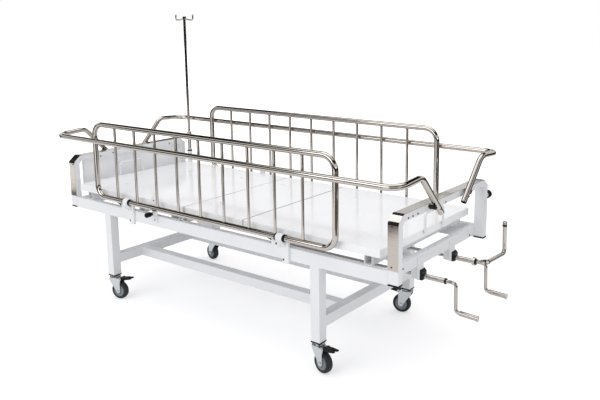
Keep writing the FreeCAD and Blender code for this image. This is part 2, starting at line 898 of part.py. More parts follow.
def runs_across(edge, y):
    """A test for straight edges along Y that end at the given place."""
    ends = [v.Point for v in edge.Vertexes]
    if len(ends) != 2 or abs(ends[0].y - ends[1].y) < 1:
        return False
    return any(abs(point.y - y) < 1e-6 for point in ends)


def latch_catch(side, sign):
    """Round-topped plate on the beam behind the guard's tube, with the plunger's boss."""
    face = size(HALF_WIDTH)
    thick = size("latch_plate_thick")
    half = size("latch_plate_half")
    x = size("latch_x")
    foot = size("latch_plate_foot")
    crown = size("latch_plate_top") - half
    across = FreeCAD.Vector(0, 1, 0)
    plate = Part.makeBox(2 * half, thick, crown - foot, FreeCAD.Vector(x - half, face, foot))
    cap = Part.makeCylinder(half, thick, FreeCAD.Vector(x, face, crown), across)
    at = FreeCAD.Vector(x, face, size("latch_pin_z"))
    boss_long = thick + size("latch_boss_long")
    boss = Part.makeCylinder(size("latch_boss_radius"), boss_long, at, across)
    bore = Part.makeCylinder(size("latch_pin_radius + run_fit"), boss_long, at, across)
    whole = plate.fuse([cap, boss]).cut(bore).removeSplitter()
    if sign < 0:
        whole = whole.mirror(FreeCAD.Vector(), across)
    return shaped(f"latch_catch_{side}", whole)


def latch_plunger(side, sign):
    """Sprung pin with a round pull knob on the boss's outer end."""
    body = new_body(f"latch_plunger_{side}")
    profile = new_sketch(body, "xz")
    knob = "(latch_plate_thick + latch_boss_long + seat_gap)"
    rows = [
        ("0", "1"),
        ("latch_pin_radius", "1"),
        ("latch_pin_radius", knob),
        ("latch_knob_radius - 4", knob),
        ("latch_knob_radius - 4", f"{knob} + latch_knob_long * 0.15"),
        ("latch_knob_radius", f"{knob} + latch_knob_long * 0.3"),
        ("latch_knob_radius", f"{knob} + latch_knob_long * 0.55"),
        ("latch_knob_radius - 2", f"{knob} + latch_knob_long * 0.6"),
        ("latch_knob_radius", f"{knob} + latch_knob_long * 0.65"),
        ("latch_knob_radius", f"{knob} + latch_knob_long * 0.9"),
        ("latch_knob_radius - 4", f"{knob} + latch_knob_long"),
        ("0", f"{knob} + latch_knob_long"),
    ]
    outline(profile, rows)
    revolution(body, profile)
    at = ("latch_x", f"{sign} * {HALF_WIDTH}", "latch_pin_z")
    return place(body, at, (1, 0, 0), -90 * sign)


def tube_cradles():
    """Pads on the bows' outer faces that the rails' turned-in ends lie against."""
    fall = size("rail_z + rail_turn_rise - rail_tip_z")
    across = size("rail_tip_in - rail_turn_in")
    slope = math.degrees(math.atan2(fall, across))
    share = size("rail_z + rail_turn_rise - cradle_z") / fall
    on_tube = (size(RAIL_TURN_Y) - across * share, size("cradle_z"))
    reach = size("guard_radius + seat_gap")
    long = size("cradle_long")
    thick = size("cradle_thick")
    pads = []
    for sign in SIDES.values():
        for end_sign in ENDS.values():
            block = Part.makeBox(size("rail_over + 8"), long, thick)
            block.translate(FreeCAD.Vector(0, -long / 2, -thick - reach))
            block.rotate(FreeCAD.Vector(), FreeCAD.Vector(1, 0, 0), slope)
            block.translate(FreeCAD.Vector(size(HALF_LENGTH), on_tube[0], on_tube[1]))
            if sign < 0:
                block = block.mirror(FreeCAD.Vector(), FreeCAD.Vector(0, 1, 0))
            if end_sign < 0:
                block = block.mirror(FreeCAD.Vector(), FreeCAD.Vector(1, 0, 0))
            pads.append(block)
    return shaped("tube_cradles", Part.makeCompound(pads))


# Cranks ------------------------------------------------------------------------------------


def crank_bearing(side, sign):
    """Box under the foot cross member, its tapered block and the sleeve that carries a crank."""
    body = new_body(f"crank_bearing_{side}")
    y = f"({sign} * crank_y)"
    inner_x = f"({HALF_LENGTH} - post_deep - member_deep)"
    outer_x = f"({HALF_LENGTH} - post_deep)"
    house_half = "bearing_box_wide / 2"
    block_half = "bearing_block_wide / 2"
    house = new_sketch(body, "yz", inner_x)
    rectangle(
        house,
        (f"{y} - {house_half}", "crank_z - bearing_box_drop"),
        (f"{y} + {house_half}", "member_top - member_tall"),
    )
    pad(body, house, "member_deep")
    low = "crank_z - bearing_block_low"
    plate = new_sketch(body, "yz", outer_x)
    top = "member_top - bearing_plate_drop"
    rectangle(plate, (f"{y} - {block_half}", low), (f"{y} + {block_half}", top))
    pad(body, plate, "bearing_plate")
    root = new_sketch(body, "yz", outer_x)
    high = "crank_z + bearing_block_high"
    rectangle(root, (f"{y} - {block_half}", low), (f"{y} + {block_half}", high))
    front = new_sketch(body, "yz", BLOCK_END_X)
    rectangle(
        front,
        (f"{y} - {block_half} + bearing_taper / 2", low),
        (f"{y} + {block_half} - bearing_taper / 2", f"{high} - bearing_taper"),
    )
    loft(body, root, front)
    sleeve = new_sketch(body, "yz", f"{outer_x} + bearing_plate")
    circle(sleeve, (y, "crank_z"), "sleeve_radius")
    pad(body, sleeve, f"{SLEEVE_END_X} - {outer_x} - bearing_plate")
    ring = new_sketch(body, "yz", SLEEVE_END_X)
    circle(ring, (y, "crank_z"), "sleeve_ring_radius")
    pad(body, ring, "sleeve_ring_long")
    bore = new_sketch(body, "yz", f"{SLEEVE_END_X} + sleeve_ring_long + 1")
    circle(bore, (y, "crank_z"), "crank_rod_radius + run_fit")
    pocket(body, bore, f"{SLEEVE_END_X} + sleeve_ring_long + 2 - {inner_x}")
    return body


def crank(side, sign):
    """Cranked rod: screw under the deck, shaft through the sleeve, arm and grip spindle."""
    y = sign * size("crank_y")
    z = size("crank_z")
    low = z - size("crank_drop")
    arm = size(CRANK_ARM_X)
    points = [
        (size("crank_screw_head_x"), y, z),
        (arm, y, z),
        (arm + size("crank_lean"), y, low),
        (arm + size("crank_spindle"), y, low - size("grip_fall")),
    ]
    path = bent_path(points, size("crank_bend"))
    return shaped(f"crank_{side}", swept_round(path, size("crank_rod_radius")))


def crank_grip(side, sign):
    """Turned hand grip on the crank's spindle."""
    y = sign * size("crank_y")
    low = size("crank_z - crank_drop")
    root = FreeCAD.Vector(size(f"{CRANK_ARM_X} + crank_lean"), y, low)
    tip = FreeCAD.Vector(size(f"{CRANK_ARM_X} + crank_spindle"), y, low - size("grip_fall"))
    heading = (tip - root).normalize()
    radius = size("grip_radius")
    long = size("grip_long")
    start = tip - heading * (long - 4)
    body = Part.makeCylinder(radius, long, start, heading)
    end = Part.makeCylinder(size("grip_end_radius"), 6, start + heading * (long - 6), heading)
    bore_radius = size("crank_rod_radius + run_fit")
    bore = Part.makeCylinder(bore_radius, long - 2, start - heading * 2, heading)
    return shaped(f"crank_grip_{side}", body.fuse(end).cut(bore).removeSplitter())


def utility_holder():
    """Bent holder tube carried beside the far crank by a strap clamped on its sleeve."""
    y = size("crank_y")
    z = size("crank_z")
    x = size(f"{SLEEVE_END_X} + holder_gap")
    radius = size("holder_radius")
    start, corner, top = [
        (x, y + size(f"holder_{spot}_out"), z + size(f"holder_{spot}_rise"))
        for spot in ("start", "corner", "top")
    ]
    tube = swept_round(bent_path([start, corner, top], size("holder_bend")), radius)
    across = FreeCAD.Vector(1, 0, 0)
    thick = size("holder_strap_thick")
    wide = size("holder_strap_wide")
    clamp_wide = size("holder_clamp_wide")
    strap_x = x - radius - thick - 1
    clamp_at = FreeCAD.Vector(strap_x + thick - clamp_wide, y, z)
    clamp = Part.makeCylinder(size("holder_clamp_radius"), clamp_wide, clamp_at, across)
    fall = math.degrees(math.atan2(start[2] - z, start[1] + radius - y))
    long = math.hypot(start[2] - z, start[1] + radius - y)
    strap = Part.makeBox(thick, long, wide, FreeCAD.Vector(strap_x, 0, -wide / 2))
    strap.rotate(FreeCAD.Vector(), across, fall)
    strap.translate(FreeCAD.Vector(0, y, z))
    stub_size = size("holder_stub_size")
    stub = Part.makeBox(x - strap_x, stub_size, stub_size)
    stub.translate(FreeCAD.Vector(strap_x, start[1] + 4, start[2] - stub_size / 2))
    sleeve_at = FreeCAD.Vector(size(BLOCK_END_X), y, z)
    bore = Part.makeCylinder(size("sleeve_radius"), x - sleeve_at.x, sleeve_at, across)
    ring = clamp.fuse(strap).cut(bore)
    return shaped("utility_holder", ring.fuse(stub).fuse(tube))


# Infusion pole and clamp ---------------------------------------------------------------------


def pole_socket():
    """Socket tube on the far beam near the head, with a pad that meets the beam."""
    x, y = size("pole_x"), size(POLE_Y)
    foot = size("beam_top - beam_tall + socket_lift")
    top = size("socket_top")
    radius = size("socket_radius")
    face = size(HALF_WIDTH)
    up = FreeCAD.Vector(0, 0, 1)
    tube = Part.makeCylinder(radius, top - foot, FreeCAD.Vector(x, y, foot), up)
    ring_tall = size("socket_ring_tall")
    ring_at = FreeCAD.Vector(x, y, top - ring_tall / 2)
    ring = Part.makeCylinder(radius + size("socket_ring_out"), ring_tall, ring_at, up)
    wide = size("socket_pad_wide")
    block = Part.makeBox(wide, y - face, size("socket_pad_tall"))
    block.translate(FreeCAD.Vector(x - wide / 2, face, foot))
    floor = FreeCAD.Vector(x, y, foot + size("socket_floor"))
    bore = Part.makeCylinder(size("pole_tube_radius + run_fit"), top - foot, floor, up)
    return shaped("pole_socket", tube.fuse([ring, block]).cut(bore).removeSplitter())


def pole_tube():
    """Lower pole tube that stands in the socket, with the clamp collar at its top."""
    x, y = size("pole_x"), size(POLE_Y)
    foot = size("beam_top - beam_tall + socket_lift + socket_floor")
    top = size("pole_tube_top")
    up = FreeCAD.Vector(0, 0, 1)
    tube = Part.makeCylinder(size("pole_tube_radius"), top - foot, FreeCAD.Vector(x, y, foot), up)
    collar_tall = size("collar_tall")
    collar_at = FreeCAD.Vector(x, y, top - 2)
    collar = Part.makeCylinder(size("collar_radius"), collar_tall, collar_at, up)
    floor = FreeCAD.Vector(x, y, foot + size("tube_wall"))
    bore_radius = size("pole_rod_radius + run_fit")
    bore = Part.makeCylinder(bore_radius, top - foot + collar_tall, floor, up)
    return shaped("pole_tube", tube.fuse(collar).cut(bore).removeSplitter())


def pole_rod():
    """Upper pole rod with a double hook at the top."""
    x, y = size("pole_x"), size(POLE_Y)
    foot = size("beam_top + pole_rod_low")
    top = size("pole_rod_top")
    reach = size("hook_reach")
    radius = size("pole_rod_radius")
    hook_radius = size("hook_radius")
    up = FreeCAD.Vector(0, 0, 1)
    bar = Part.makeCylinder(radius, top - foot, FreeCAD.Vector(x, y, foot), up)
    cap_at = FreeCAD.Vector(x, y, top - hook_radius)
    cap = Part.makeCylinder(radius + size("rod_cap_out"), size("rod_cap_tall"), cap_at, up)
    low = top - size("hook_drop")
    hooks = []
    for sign in (-1, 1):
        points = [
            (x, y, top - hook_radius - 2),
            (x + sign * reach * 0.62, y, low),
            (x + sign * reach, y, low),
            (x + sign * reach, y, top + size("hook_rise")),
        ]
        hooks.append(swept_round(bent_path(points, size("hook_bend")), hook_radius))
    return shaped("pole_rod", bar.fuse([cap, *hooks]).removeSplitter())


def post_clamp():
    """Short cross tube on the far foot post that takes an accessory."""
    start = (CLAMP_X, HALF_WIDTH, "clamp_z")
    return rod("post_clamp", "y", "clamp_radius", start, "clamp_long")


def clamp_knob():
    """Round turning knob on the end of the post clamp."""
    body = new_body("clamp_knob")
    profile = new_sketch(body, "xz")
    outline(profile, [
        ("0", "0"),
        ("knob_radius - knob_slope", "0"),
        ("knob_radius", "knob_slope"),
        ("knob_radius", "knob_long - knob_slope - 2"),
        ("knob_radius - knob_slope + 1", "knob_long"),
        ("0", "knob_long"),
    ])
    revolution(body, profile)
    return place(body, (CLAMP_X, f"{HALF_WIDTH} + clamp_long", "clamp_z"), (1, 0, 0), -90)


# Casters -----------------------------------------------------------------------------------

CASTERS = {
    "head_near": ("leg_head_x", -1, 14),
    "head_far": ("leg_head_x", 1, 168),
    "foot_near": ("leg_foot_x", -1, -12),
    "foot_far": ("leg_foot_x", 1, 190),
}


def swivelled(body, x, sign, turn):
    """Stand a caster piece, modelled about the Z axis, under its leg and turn it."""
    y = f"{sign} * ({HALF_WIDTH} - leg_size / 2)"
    return place(body, (x, y, "0"), (0, 0, 1), turn)


def caster_fork(name, x, sign, turn):
    """Pressed fork: bearing dome, crown, two tapered cheeks and the axle."""
    body = new_body(f"caster_fork_{name}")
    dome = new_sketch(body, "xz")
    neck = "leg_size / 2 - 1"
    outline(dome, [
        ("0", f"{FORK_TOP} - dome_tall"),
        (f"{neck} + dome_out", f"{FORK_TOP} - dome_tall"),
        (f"{neck} + dome_out + 1", f"{FORK_TOP} - dome_tall + 5"),
        (neck, f"{FORK_TOP} - dome_tall * 0.2"),
        (neck, FORK_TOP),
        ("0", FORK_TOP),
    ])
    revolution(body, dome)
    half = "(wheel_wide / 2 + fork_gap + fork_plate)"
    crown_top = f"{FORK_TOP} - dome_tall + 1"
    crown = new_sketch(body, "xy", f"{crown_top} - fork_crown")
    rectangle(crown, ("-fork_back", f"-{half}"), ("fork_front", half))
    pad(body, crown, "fork_crown")
    hub = "fork_foot_radius"
    for sign_y in (-1, 1):
        _, high = spread(sign_y, "wheel_wide / 2 + fork_gap", half)
        cheek = new_sketch(body, "xz", f"-({high})")
        outline(cheek, [
            ("-fork_back", crown_top),
            ("fork_front", crown_top),
            (f"pedal_pin_x", f"{PEDAL_PIN_Z} + pedal_ear_radius"),
            (f"pedal_pin_x", f"{PEDAL_PIN_Z} - pedal_ear_radius"),
            (f"caster_trail + {hub}", "wheel_radius"),
            (f"caster_trail - {hub}", "wheel_radius"),
            ("-fork_back", f"{crown_top} - fork_crown - 8"),
        ])
        pad(body, cheek, "fork_plate", back=False)
        for centre, radius in (
            (("caster_trail", "wheel_radius"), hub),
            (("pedal_pin_x", PEDAL_PIN_Z), "pedal_ear_radius"),
        ):
            ear = new_sketch(body, "xz", f"-({high})")
            circle(ear, centre, radius)
            pad(body, ear, "fork_plate", back=False)
    hole = new_sketch(body, "xz", f"-({half} + 1)")
    circle(hole, ("pedal_pin_x", PEDAL_PIN_Z), "pedal_pin_radius + run_fit")
    pocket(body, hole, f"2 * {half} + 2", back=True)
    axle = new_sketch(body, "xz", f"-({half})")
    circle(axle, ("caster_trail", "wheel_radius"), "axle_radius")
    pad(body, axle, f"2 * {half}", back=False)
    return swivelled(body, x, sign, turn)


def caster_wheel(name, x, sign, turn):
    """Wheel turned in one piece: rounded tread, side wall step, hub and bore."""
    body = new_body(f"caster_wheel_{name}")
    profile = new_sketch(body, "xz")
    half = "wheel_wide / 2"
    rim = "wheel_radius"
    side = [
        ("axle_radius + run_fit", f"{half} + hub_proud"),
        ("hub_radius", f"{half} + hub_proud"),
        ("hub_radius + 3", f"{half} - web_sink + 1"),
        ("web_radius", f"{half} - web_sink"),
        ("web_radius + web_sink", half),
        (f"{rim} - tread_round", half),
        (f"{rim} - tread_round * 0.3", f"{half} - tread_round * 0.8"),
        (rim, f"{half} - tread_round * 1.8"),
    ]
    points = side + [(r, f"-({z})") for r, z in reversed(side)]
    outline(profile, points)
    revolution(body, profile)
    angle = math.radians(turn)
    trail_x = f"caster_trail * {math.cos(angle)}"
    trail_y = f"caster_trail * {math.sin(angle)}"
    y = f"{sign} * ({HALF_WIDTH} - leg_size / 2)"
    place(body, (f"{x} + {trail_x}", f"{y} + {trail_y}", "wheel_radius"))
    tilt = FreeCAD.Rotation(FreeCAD.Vector(0, 0, 1), turn)
    lie = FreeCAD.Rotation(FreeCAD.Vector(1, 0, 0), 90)
    body.Placement = FreeCAD.Placement(body.Placement.Base, tilt.multiply(lie))
    return body


def brake_pedal(name, x, sign, turn):
    """Two-pronged foot pedal on a pin between the fork's ears, over the wheel."""
    body = new_body(f"brake_pedal_{name}")
    pin_x, pin_z = "pedal_pin_x", PEDAL_PIN_Z
    end = f"({pin_x} + pedal_long)"
    side = new_sketch(body, "xz", "-(pedal_wide / 2)")
    outline(side, [
        (pin_x, f"{pin_z} - pedal_barrel_radius"),
        (pin_x, f"{pin_z} + pedal_barrel_radius"),
        (f"{pin_x} + pedal_long * 0.5", f"{pin_z} + pedal_barrel_radius + 5"),
        (end, f"{pin_z} + pedal_barrel_radius + 7"),
        (end, f"{pin_z} + pedal_barrel_radius + 1"),
        (f"{pin_x} + pedal_long * 0.5", f"{pin_z} - 1"),
    ])
    pad(body, side, "pedal_wide", back=False)
    barrel = new_sketch(body, "xz", "-(pedal_wide / 2)")
    circle(barrel, (pin_x, pin_z), "pedal_barrel_radius")
    pad(body, barrel, "pedal_wide", back=False)
    notch = new_sketch(body, "xy", f"{FORK_TOP} + 10")
    rectangle(
        notch,
        (f"{end} - pedal_notch_long", "-pedal_notch_wide / 2"),
        (f"{end} + 1", "pedal_notch_wide / 2"),
    )
    pocket(body, notch, "40")
    pin = new_sketch(body, "xz", "-(wheel_wide / 2 + fork_gap + fork_plate)")
    circle(pin, (pin_x, pin_z), "pedal_pin_radius")
    pad(body, pin, "2 * (wheel_wide / 2 + fork_gap + fork_plate)", back=False)
    return swivelled(body, x, sign, turn)


# Assembly ----------------------------------------------------------------------------------

nodes = []
for side, sign in SIDES.items():
    nodes.append(beam(side, sign))
    nodes.append(guard(side, sign))
    nodes.append(guard_bars(side, sign))
    nodes.append(guard_rail(side, sign))
    nodes.append(guard_bracket(side, "head", sign))
    nodes.append(guard_bracket(side, "foot", sign))
    nodes.append(latch_catch(side, sign))
    nodes.append(latch_plunger(side, sign))
    nodes.append(crank_bearing(side, sign))
    nodes.append(crank(side, sign))
    nodes.append(crank_grip(side, sign))
for end, sign in ENDS.items():
    nodes.append(bow(end, sign))
    nodes.append(cross_member(end, sign))
    for side, side_sign in SIDES.items():
        nodes.append(leg(f"leg_{end}_{side}", f"leg_{end}_x", side_sign))
nodes.append(leg_cross_bars())
nodes.append(leg_stretchers())
nodes.append(tube_cradles())
nodes.append(post_caps())
nodes.append(head_panel())
nodes.append(hip_support())
nodes.append(deck_rests())
nodes.append(
    hinged_tray(
        "deck_back",
        DECK_HEAD_X,
        "hip_x - joint_gap",
        upright_edge_at(size(DECK_HEAD_X)),
        [("hip_x", HIP_Z, y, -1, True) for y in hip_row(1)],
    )
)
nodes.append(
    hinged_tray(
        "deck_thigh",
        "hip_x + joint_gap",
        "knee_x - joint_gap",
        None,
        [("hip_x", HIP_Z, y, 1, True) for y in hip_row(2)]
        + [("knee_x", KNEE_Z, y, -1, False) for y in knee_row(0)],
        [rod("KneePin", "y", "pin_radius", ("knee_x", f"-{KNEE_PIN}", KNEE_Z), f"2 * {KNEE_PIN}")],
    )
)
nodes.append(
    hinged_tray(
        "deck_leg",
        "knee_x + joint_gap",
        DECK_FOOT_X,
        upright_edge_at(size(DECK_FOOT_X)),
        [("knee_x", KNEE_Z, y, 1, True) for y in knee_row(1)],
    )
)
nodes.append(mattress_stop("head", f"{DECK_HEAD_X} - stop_radius"))
nodes.append(mattress_stop("foot", f"{DECK_FOOT_X} + stop_radius"))
nodes.append(utility_holder())
nodes.append(pole_socket())
nodes.append(pole_tube())
nodes.append(pole_rod())
nodes.append(post_clamp())
nodes.append(clamp_knob())
for name, (x, sign, turn) in CASTERS.items():
    nodes.append(caster_fork(name, x, sign, turn))
    nodes.append(caster_wheel(name, x, sign, turn))
    nodes.append(brake_pedal(name, x, sign, turn))

doc.recompute()
failed = [o.Name for o in doc.Objects if "Invalid" in o.State or "Error" in o.State]
for node in nodes:
    if node.Shape.isNull() or not node.Shape.isValid():
        failed.append(node.Label)
if failed:
    raise RuntimeError("failed objects: " + ", ".join(failed))

os.makedirs("parts", exist_ok=True)
for node in nodes:
    node.Shape.exportStep(f"parts/{node.Label}.step")
print(len(nodes), "sub-parts written")
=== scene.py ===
# %% [markdown]
# # A pediatric hospital cot
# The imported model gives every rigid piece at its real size. This lesson dresses it: finishes
# for powder coat, polished tube, rubber and plastic, and the small pieces that catch the eye,
# such as end strips, screws, bushes, weld beads and hub rings. Each cell explains one step
# before it makes anything, so the cells can be read and run in order.

# %% Load the frame
import math

import bmesh
import bpy
from mathutils import Matrix, Vector


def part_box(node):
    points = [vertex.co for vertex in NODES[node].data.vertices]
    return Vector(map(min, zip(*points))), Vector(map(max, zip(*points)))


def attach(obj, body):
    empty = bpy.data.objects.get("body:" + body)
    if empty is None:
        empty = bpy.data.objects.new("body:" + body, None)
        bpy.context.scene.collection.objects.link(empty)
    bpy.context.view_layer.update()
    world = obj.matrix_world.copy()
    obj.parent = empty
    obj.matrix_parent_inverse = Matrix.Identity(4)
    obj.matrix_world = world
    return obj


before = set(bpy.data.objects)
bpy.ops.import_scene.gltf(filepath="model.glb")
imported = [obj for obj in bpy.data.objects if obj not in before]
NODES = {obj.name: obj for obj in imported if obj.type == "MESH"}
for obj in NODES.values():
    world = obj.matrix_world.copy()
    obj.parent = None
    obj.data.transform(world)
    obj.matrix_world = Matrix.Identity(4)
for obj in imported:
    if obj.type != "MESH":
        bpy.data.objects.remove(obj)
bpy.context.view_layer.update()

MM = 0.001
ALONG = Vector((1.0, 0.0, 0.0))
ACROSS = Vector((0.0, 1.0, 0.0))
UP = Vector((0.0, 0.0, 1.0))

# %% [markdown]
# ## Camera
# A camera can follow a target or be placed by hand. Numbers are used here, because they give
# the same view each run. The lens stands high at the foot end's near corner, a few metres away
# and longish, which keeps the far end from shrinking too much. The small shift only frames the
# cot; the lens itself looks slightly down.

# %% Place the camera
CAMERA_PLACE = Vector((2.527, -2.755, 1.571))
CAMERA_YAW = math.radians(36.3645)
CAMERA_PITCH = math.radians(-10.2405)
CAMERA_ROLL = math.radians(-0.338)
LENS_MM = 42.56
SENSOR_MM = 36.0
SHIFT = (-0.0592, -0.0893)
VIEW_END = 100.0

lens = bpy.data.cameras.new("Camera")
lens.lens = LENS_MM
lens.sensor_width = SENSOR_MM
lens.shift_x, lens.shift_y = SHIFT
lens.clip_end = VIEW_END
camera = bpy.data.objects.new("Camera", lens)
bpy.context.scene.collection.objects.link(camera)
level = math.pi / 2
aim = Matrix.Rotation(CAMERA_YAW, 4, "Z") @ Matrix.Rotation(level + CAMERA_PITCH, 4, "X")
roll = Matrix.Rotation(CAMERA_ROLL, 4, "Z")
camera.matrix_world = Matrix.Translation(CAMERA_PLACE) @ aim @ roll
bpy.context.scene.camera = camera
print("camera at", tuple(round(v, 3) for v in CAMERA_PLACE))

# %% [markdown]
# ## Shared effects
# Most finishes need the same few effects. They could be copied into every material, but a node
# group is built once and placed with new values each time:
#
# - **Powder coat** gives a faint orange peel for the bump and a slow change of tone.
# - **Polish lines** gives the fine lines that a belt leaves on tube, for tint, roughness and
#   bump.
# - **Round zone** and **Level zone** are masks. They let one imported piece carry two finishes,
#   such as a tyre and its wheel centre, which were moulded together.
#
# A group only puts out heights, tones, roughness and masks. The shader stays in the material.

# %% Start a node group
def new_group(name, inputs, outputs):
    """A group whose inputs are numbers or vectors and whose outputs are numbers."""
    group = bpy.data.node_groups.new(name, "ShaderNodeTree")
    for title, value in inputs:
        kind = "NodeSocketFloat" if isinstance(value, (int, float)) else "NodeSocketVector"
        socket = group.interface.new_socket(title, in_out="INPUT", socket_type=kind)
        socket.default_value = value
    for title in outputs:
        group.interface.new_socket(title, in_out="OUTPUT", socket_type="NodeSocketFloat")
    return group, group.nodes.new("NodeGroupInput"), group.nodes.new("NodeGroupOutput")


def set_or_link(tree, socket, value):
    """Link a socket where the value is one, and write the value where it isn't."""
    if isinstance(value, bpy.types.NodeSocket):
        tree.links.new(value, socket)
    else:
        socket.default_value = value


print("group starter ready")

# %% Helpers for the nodes inside
NOISE_MIDDLE = (0.3, 0.7)


def object_place(tree):
    return tree.nodes.new("ShaderNodeTexCoord").outputs["Object"]


def noise(tree, scale, detail=2.0, stretch=None):
    """Noise on object coordinates, stretched where a pattern runs one way."""
    texture = tree.nodes.new("ShaderNodeTexNoise")
    texture.inputs["Detail"].default_value = detail
    set_or_link(tree, texture.inputs["Scale"], scale)
    source = object_place(tree)
    if stretch:
        mapping = tree.nodes.new("ShaderNodeMapping")
        mapping.inputs["Scale"].default_value = stretch
        tree.links.new(source, mapping.inputs["Vector"])
        source = mapping.outputs["Vector"]
    tree.links.new(source, texture.inputs["Vector"])
    return texture.outputs["Fac"]


def map_range(tree, source, given, wanted):
    """Turn the given low and high of a value into the wanted ones."""
    remap = tree.nodes.new("ShaderNodeMapRange")
    values = zip(("From Min", "From Max", "To Min", "To Max"), (*given, *wanted))
    for title, value in values:
        set_or_link(tree, remap.inputs[title], value)
    tree.links.new(source, remap.inputs["Value"])
    return remap.outputs["Result"]


def vector_math(tree, operation, first, second=None):
    step = tree.nodes.new("ShaderNodeVectorMath")
    step.operation = operation
    tree.links.new(first, step.inputs[0])
    if second is not None:
        tree.links.new(second, step.inputs[1])
    return step


def number_math(tree, operation, first, second):
    step = tree.nodes.new("ShaderNodeMath")
    step.operation = operation
    for socket, value in zip(step.inputs, (first, second)):
        set_or_link(tree, socket, value)
    return step.outputs["Value"]


print("node helpers ready")

# %% Build the surface groups
TONE_SCALE = 6.0
TONE_DETAIL = 3.0
LINE_DETAIL = 4.0
LINE_STRETCH = (0.4, 12.0, 12.0)


def powder_group():
    inputs = [("Peel scale", 900.0), ("Tone low", 0.965), ("Tone high", 1.0)]
    group, given, out = new_group("Powder coat", inputs, ["Height", "Tone"])
    tones = given.outputs["Tone low"], given.outputs["Tone high"]
    tone = map_range(group, noise(group, TONE_SCALE, TONE_DETAIL), NOISE_MIDDLE, tones)
    group.links.new(noise(group, given.outputs["Peel scale"]), out.inputs["Height"])
    group.links.new(tone, out.inputs["Tone"])
    return group


def polish_group():
    inputs = [("Line scale", 40.0), ("Rough low", 0.1), ("Rough high", 0.2)]
    group, given, out = new_group("Polish lines", inputs, ["Height", "Rough"])
    lines = noise(group, given.outputs["Line scale"], LINE_DETAIL, LINE_STRETCH)
    limits = given.outputs["Rough low"], given.outputs["Rough high"]
    group.links.new(lines, out.inputs["Height"])
    group.links.new(map_range(group, lines, NOISE_MIDDLE, limits), out.inputs["Rough"])
    return group


POWDER = powder_group()
POLISH = polish_group()
print("groups:", POWDER.name, "and", POLISH.name)

# %% Build the masks
def round_zone_group():
    """1 within a distance of an axis, given by a point on it and its direction."""
    inputs = [("Centre", (0.0, 0.0, 0.0)), ("Axis", (0.0, 1.0, 0.0)), ("Radius", 0.03)]
    group, given, out = new_group("Round zone", inputs, ["Mask"])
    offset = vector_math(group, "SUBTRACT", object_place(group), given.outputs["Centre"])
    offset = offset.outputs["Vector"]
    side_step = vector_math(group, "CROSS_PRODUCT", offset, given.outputs["Axis"])
    reach = vector_math(group, "LENGTH", side_step.outputs["Vector"])
    mask = number_math(group, "LESS_THAN", reach.outputs["Value"], given.outputs["Radius"])
    group.links.new(mask, out.inputs["Mask"])
    return group


def level_zone_group():
    """1 between two levels along one direction."""
    inputs = [("Direction", (1.0, 0.0, 0.0)), ("Low", 0.0), ("High", 1.0)]
    group, given, out = new_group("Level zone", inputs, ["Mask"])
    level = vector_math(group, "DOT_PRODUCT", object_place(group), given.outputs["Direction"])
    over = number_math(group, "GREATER_THAN", level.outputs["Value"], given.outputs["Low"])
    under = number_math(group, "LESS_THAN", level.outputs["Value"], given.outputs["High"])
    group.links.new(number_math(group, "MULTIPLY", over, under), out.inputs["Mask"])
    return group


ROUND_ZONE = round_zone_group()
LEVEL_ZONE = level_zone_group()
print("masks:", ROUND_ZONE.name, "and", LEVEL_ZONE.name)

# %% [markdown]
# ## Finishes
# Every finish starts from one Principled shader. What is the same all over sits on its own
# sockets; only what varies over the surface comes from a group. Metal is a colour and a
# roughness, and the rest of its look is what it reflects. Baked powder is a smooth dielectric
# with a trace of orange peel, and the deck's enamel has a clear coat that mirrors the bars.

# %% Helpers that start a finish
COAT_ROUGHNESS = 0.05


def opaque(color):
    return (*color, 1.0)


def start_material(name, color, roughness, metallic=0.0, coat=0.0):
    material = bpy.data.materials.new(name)
    material.use_nodes = True
    shader = material.node_tree.nodes["Principled BSDF"]
    shader.inputs["Base Color"].default_value = opaque(color)
    shader.inputs["Roughness"].default_value = roughness
    shader.inputs["Metallic"].default_value = metallic
    shader.inputs["Coat Weight"].default_value = coat
    shader.inputs["Coat Roughness"].default_value = COAT_ROUGHNESS
    return material, material.node_tree, shader


def add_group(tree, group, **values):
    """Place a group and write its inputs; an underscore stands for a space."""
    node = tree.nodes.new("ShaderNodeGroup")
    node.node_tree = group
    for title, value in values.items():
        node.inputs[title.replace("_", " ")].default_value = value
    return node


def add_bump(tree, shader, height, strength, depth):
    bump = tree.nodes.new("ShaderNodeBump")
    bump.inputs["Strength"].default_value = strength
    bump.inputs["Distance"].default_value = depth
    tree.links.new(height, bump.inputs["Height"])
    tree.links.new(bump.outputs["Normal"], shader.inputs["Normal"])


def mix_colors(tree, factor, first, second, blend="MIX"):
    mix = tree.nodes.new("ShaderNodeMix")
    mix.data_type = "RGBA"
    mix.blend_type = blend
    set_or_link(tree, mix.inputs["Factor"], factor)
    set_or_link(tree, mix.inputs["A"], first)
    set_or_link(tree, mix.inputs["B"], second)
    return mix.outputs["Result"]


print("finish starters ready")

# %% Helpers for paint, metal and plastic
PEEL_DEPTH = 0.4 * MM
LINE_DEPTH = 0.3 * MM
GRAIN_DEPTH = 0.5 * MM
LINE_BUMP = 0.03
LINE_TINT = 0.86
GRAIN_TONE = 0.8


def tone_color(tree, shader, color, skin):
    """Multiply a colour by the slow tone of the powder group."""
    tone = mix_colors(tree, 1.0, color, skin.outputs["Tone"], "MULTIPLY")
    tree.links.new(tone, shader.inputs["Base Color"])


def powder_coat(name, color, roughness, peel=0.05, coat=0.0):
    material, tree, shader = start_material(name, color, roughness, coat=coat)
    skin = add_group(tree, POWDER)
    tone_color(tree, shader, opaque(color), skin)
    add_bump(tree, shader, skin.outputs["Height"], peel, PEEL_DEPTH)
    return material


